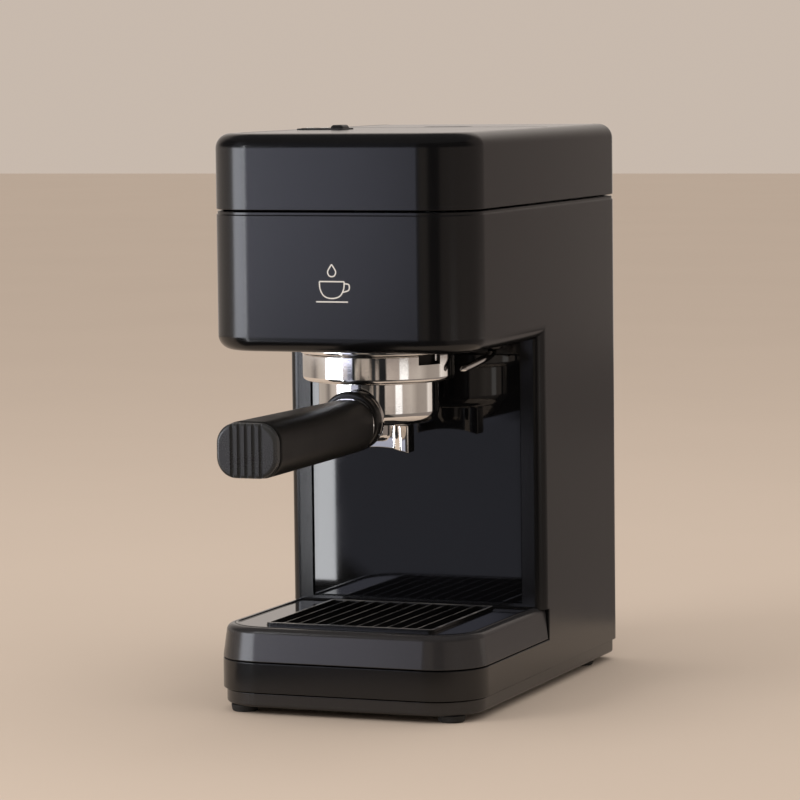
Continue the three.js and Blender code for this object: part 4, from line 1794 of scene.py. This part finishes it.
# The low band of the screen as the chrome sees it.
STREAK_TONES = (
    (-180, (0.5, 0.43, 0.37)), (-105, (0.42, 0.36, 0.31)), (-90, (0.2, 0.17, 0.15)),
    (-80, (0.5, 0.43, 0.37)), (-66, (0.6, 0.52, 0.46)), (-64, (5.2, 5.3, 5.7)),
    (-36, (5.2, 5.4, 5.9)), (-34, (0.6, 0.52, 0.48)), (-27, (0.42, 0.36, 0.31)),
    (-25, (0.02, 0.02, 0.02)), (-15, (0.02, 0.02, 0.02)), (-13, (0.6, 0.52, 0.44)),
    (-7, (0.3, 0.24, 0.2)), (-5, (0.05, 0.04, 0.03)), (-3, (0.44, 0.36, 0.3)),
    (5, (0.5, 0.42, 0.35)), (10, (0.26, 0.21, 0.17)), (12, (0.03, 0.03, 0.03)),
    (16, (0.03, 0.03, 0.03)), (18, (0.4, 0.33, 0.28)), (21, (0.3, 0.25, 0.21)),
    (23, (0.015, 0.015, 0.015)), (32, (0.015, 0.015, 0.015)), (34, (0.5, 0.42, 0.36)),
    (52, (0.42, 0.35, 0.3)), (54, (1.2, 1.15, 1.1)), (65, (1.2, 1.15, 1.1)),
    (68, (0.46, 0.39, 0.34)), (85, (0.52, 0.45, 0.39)), (100, (0.32, 0.27, 0.23)),
    (124, (0.34, 0.29, 0.25)), (130, (0.8, 0.72, 0.65)), (146, (0.6, 0.52, 0.46)),
    (154, (0.215, 0.178, 0.16)), (180, (0.215, 0.178, 0.16)),
)

# The glowing sheet on the floor beyond its near ring.
FLOOR_TONES = (
    (-60, (0.05, 0.045, 0.04)), (-33, (0.05, 0.045, 0.04)), (-31, (0.37, 0.38, 0.46)),
    (-19.7, (0.37, 0.38, 0.46)), (-19.3, (0.03, 0.027, 0.025)), (32, (0.03, 0.027, 0.025)),
    (40, (0.2, 0.17, 0.15)), (150, (0.24, 0.2, 0.178)), (180, (0.3, 0.25, 0.22)),
)


def tones_at(angles: Array, tones: Sequence[tuple[float, Colour]]) -> Array:
    """Looks up a table of tones, with a straight line between neighbours.

    Args:
        angles: azimuths in degrees.
        tones: rows of azimuth and colour, in rising order.

    Returns:
        (n, 3) colours.
    """
    turns = [turn for turn, _ in tones]
    return np.stack([np.interp(angles, turns, [t[1][c] for t in tones]) for c in range(3)], 1)


@dataclass
class Studio:
    """Floor, camera and soft light."""

    lens: float = 174.2
    camera_at: tuple[float, float, float] = (768.7, -1862.2, 346.7)
    yaw: float = 21.44
    pitch: float = 5.05
    roll: float = -0.67
    screen: float = 1500.0
    floor_half: float = 9000.0

    def build(self) -> None:
        """Sets up the studio."""
        self.camera()
        self.floor()
        self.world()
        self.reflector()
        self.lamps()
        bpy.context.scene.view_settings.view_transform = "Standard"

    def camera(self) -> None:
        """A long lens to the right of the machine, a little above it."""
        data = bpy.data.cameras.new("camera")
        data.sensor_width = 36.0
        data.lens = self.lens
        data.clip_end = 50.0
        eye = bpy.data.objects.new("camera", data)
        bpy.context.scene.collection.objects.link(eye)
        yaw, pitch, roll = (math.radians(a) for a in (self.yaw, self.pitch, self.roll))
        level = math.cos(pitch)
        forward = Vector((-math.sin(yaw) * level, math.cos(yaw) * level, -math.sin(pitch)))
        right = Vector((math.cos(yaw), math.sin(yaw), 0.0))
        up = right.cross(forward)
        across = math.cos(roll) * right + math.sin(roll) * up
        above = -math.sin(roll) * right + math.cos(roll) * up
        turn = Matrix((across, above, -forward)).transposed().to_4x4()
        place = Vector(to_row(np.array([self.camera_at]))[0])
        eye.matrix_world = Matrix.Translation(place) @ turn
        bpy.context.scene.camera = eye

    def floor(self) -> None:
        """A large plain floor."""
        half = self.floor_half
        corners = np.array([[-half, -half, 0], [half, -half, 0], [half, half, 0], [-half, half, 0]])
        floor = new_object("floor", corners, [(0, 1, 2, 3)])
        floor.data.materials.append(finish("worktop"))

    def world(self) -> None:
        """Warm pale surroundings, lighter overhead."""
        recipe = Recipe("surroundings", Ending.SKY)
        towards = recipe.wire(recipe.node("ShaderNodeTexCoord"), "Generated")
        height = recipe.wire(recipe.node("ShaderNodeSeparateXYZ", {}, {"Vector": towards}), "Z")
        stops = ((0.02, (0.575, 0.488, 0.418)), (0.5, (0.92, 0.86, 0.8)))
        sky = recipe.node("ShaderNodeValToRGB", {"stops": stops}, {"Fac": height})
        recipe.set(Color=recipe.wire(sky))
        bpy.context.scene.world = recipe.owner

    def reflector(self) -> None:
        """A round screen, a lid and a floor sheet that only polished surfaces see.

        The screen is a cylinder about the brewing axis. Its brightness is looked up by azimuth,
        measured from straight ahead towards the right, and fades with height. The chrome sees its
        low bands, the painted casing the rest, and the polished panel the floor sheet.
        """
        azimuth = np.linspace(-180, 180, 1441)
        shade, streak = tones_at(azimuth, SCREEN_TONES), tones_at(azimuth, STREAK_TONES)
        ahead_share = np.clip((120 - np.abs(azimuth)) / 20, 0, 1)[:, None]
        high = shade * (0.05 * ahead_share + 0.9 * (1 - ahead_share))
        middle = shade * (0.3 * ahead_share + 1.0 * (1 - ahead_share))
        dimmed = ((azimuth > -34) & (azimuth < 8))[:, None]
        low = np.where(dimmed, shade * 0.34, streak)
        far, r = np.radians(azimuth), self.screen
        bands = (
            (2, low), (42, low), (48, streak), (74, streak), (80, shade), (400, shade),
            (500, middle), (640, high), (r, high),
        )
        centre = (0.0, 64.5)
        self.glow_sheet("reflector", far, [(r, height, tone) for height, tone in bands], centre)
        lid = np.ones((len(azimuth), 3)) * np.array([0.1, 0.095, 0.09])
        self.glow_sheet("reflector_lid", far, [(r, r, lid), (10, r, lid)], centre)
        ahead = np.linspace(-60, 180, 961)
        beyond = tones_at(ahead, FLOOR_TONES)
        near = np.where((ahead < 32)[:, None], np.array([0.035, 0.032, 0.03]), beyond)
        rows = [(262, 0.6, near), (390, 0.6, near), (430, 0.6, beyond), (1590, 0.6, beyond)]
        self.glow_sheet("reflector_floor", np.radians(ahead), rows, (61.0, 118.4))
        self.strip_card()

    def glow_sheet(
        self, name: str, angles: Array, rows: Sequence[tuple[float, float, Array]],
        centre: tuple[float, float],
    ) -> None:
        """A glowing sheet swept round an upright axis.

        Row k is (x + r_k sin a, y - r_k cos a, z_k), where (x, y) is the axis.

        Args:
            name: the sheet's name.
            angles: azimuths of its columns in radians.
            rows: radius, height and (n, 3) colours of each row.
            centre: the axis.
        """
        x, y = centre
        points = np.concatenate(
            [
                np.column_stack(
                    [x + r * np.sin(angles), y - r * np.cos(angles), np.full(len(angles), z)]
                )
                for r, z, _ in rows
            ]
        )
        mesh = bpy.data.meshes.new(name)
        faces = quads(len(rows), len(angles), False)
        mesh.from_pydata(to_row(points).tolist(), [], faces.tolist())
        sheet = bpy.data.objects.new(name, mesh)
        bpy.context.scene.collection.objects.link(sheet)
        colours = np.concatenate([row[2] for row in rows])
        glow = mesh.attributes.new("glow", "FLOAT_COLOR", "POINT")
        glow.data.foreach_set("color", np.column_stack([colours, np.ones(len(colours))]).ravel())
        recipe = Recipe(name, Ending.GLOW)
        painted = recipe.node("ShaderNodeAttribute", {"attribute_name": "glow"})
        recipe.set(Color=recipe.wire(painted, "Color"))
        mesh.materials.append(recipe.owner)
        self.only_in_gloss(sheet)

    def strip_card(self) -> None:
        """A narrow bright card to the left that draws an upright strip in the polished panel."""
        x0, x1, y, z0, z1 = -216.5, -200.5, -250, 3, 430
        strip = new_object(
            "strip_card",
            np.array([[x0, y, z0], [x1, y, z0], [x1, y, z1], [x0, y, z1]]),
            [(0, 1, 2, 3)],
        )
        recipe = Recipe("strip_card", Ending.GLOW)
        recipe.set(Color=(0.95, 0.97, 1.0), Strength=11.0)
        strip.data.materials.append(recipe.owner)
        self.only_in_gloss(strip)

    @staticmethod
    def only_in_gloss(card: bpy.types.Object) -> None:
        """Hides a card from everything but reflections.

        Args:
            card: the card.
        """
        card.visible_camera = False
        card.visible_diffuse = False
        card.visible_transmission = False
        card.visible_shadow = False
        card.visible_volume_scatter = False

    def lamps(self) -> None:
        """Soft boxes at the front left, the right and overhead."""
        for name, place, power, size in (
            ("key", (-1100, -1300, 1250), 14.0, 0.9),
            ("fill", (1500, -300, 900), 2.0, 1.2),
            ("top", (100, 500, 1700), 5.0, 1.3),
        ):
            data = bpy.data.lights.new(name, "AREA")
            data.energy = power
            data.size = size
            data.color = (1.0, 0.965, 0.92)
            lamp = bpy.data.objects.new(name, data)
            bpy.context.scene.collection.objects.link(lamp)
            at = Vector(to_row(np.array([place]))[0])
            aim = Vector(to_row(np.array([[0.0, 100.0, 120.0]]))[0])
            turn = (at - aim).to_track_quat("Z", "Y").to_matrix().to_4x4()
            lamp.matrix_world = Matrix.Translation(at) @ turn
            lamp.visible_glossy = False
            lamp.visible_camera = False


def main() -> None:
    """Builds the studio and every sub-assembly in order."""
    logging.basicConfig(level=logging.INFO, format="%(name)s %(message)s")
    for assembly in (
        Studio(), Casing(), TopFittings(), Column(), DripTray(), Group(), SteamWand(), Badge(),
        SmallParts(),
    ):
        assembly.build()
        log.info("%s done", type(assembly).__name__)


if __name__ == "__main__":
    main()
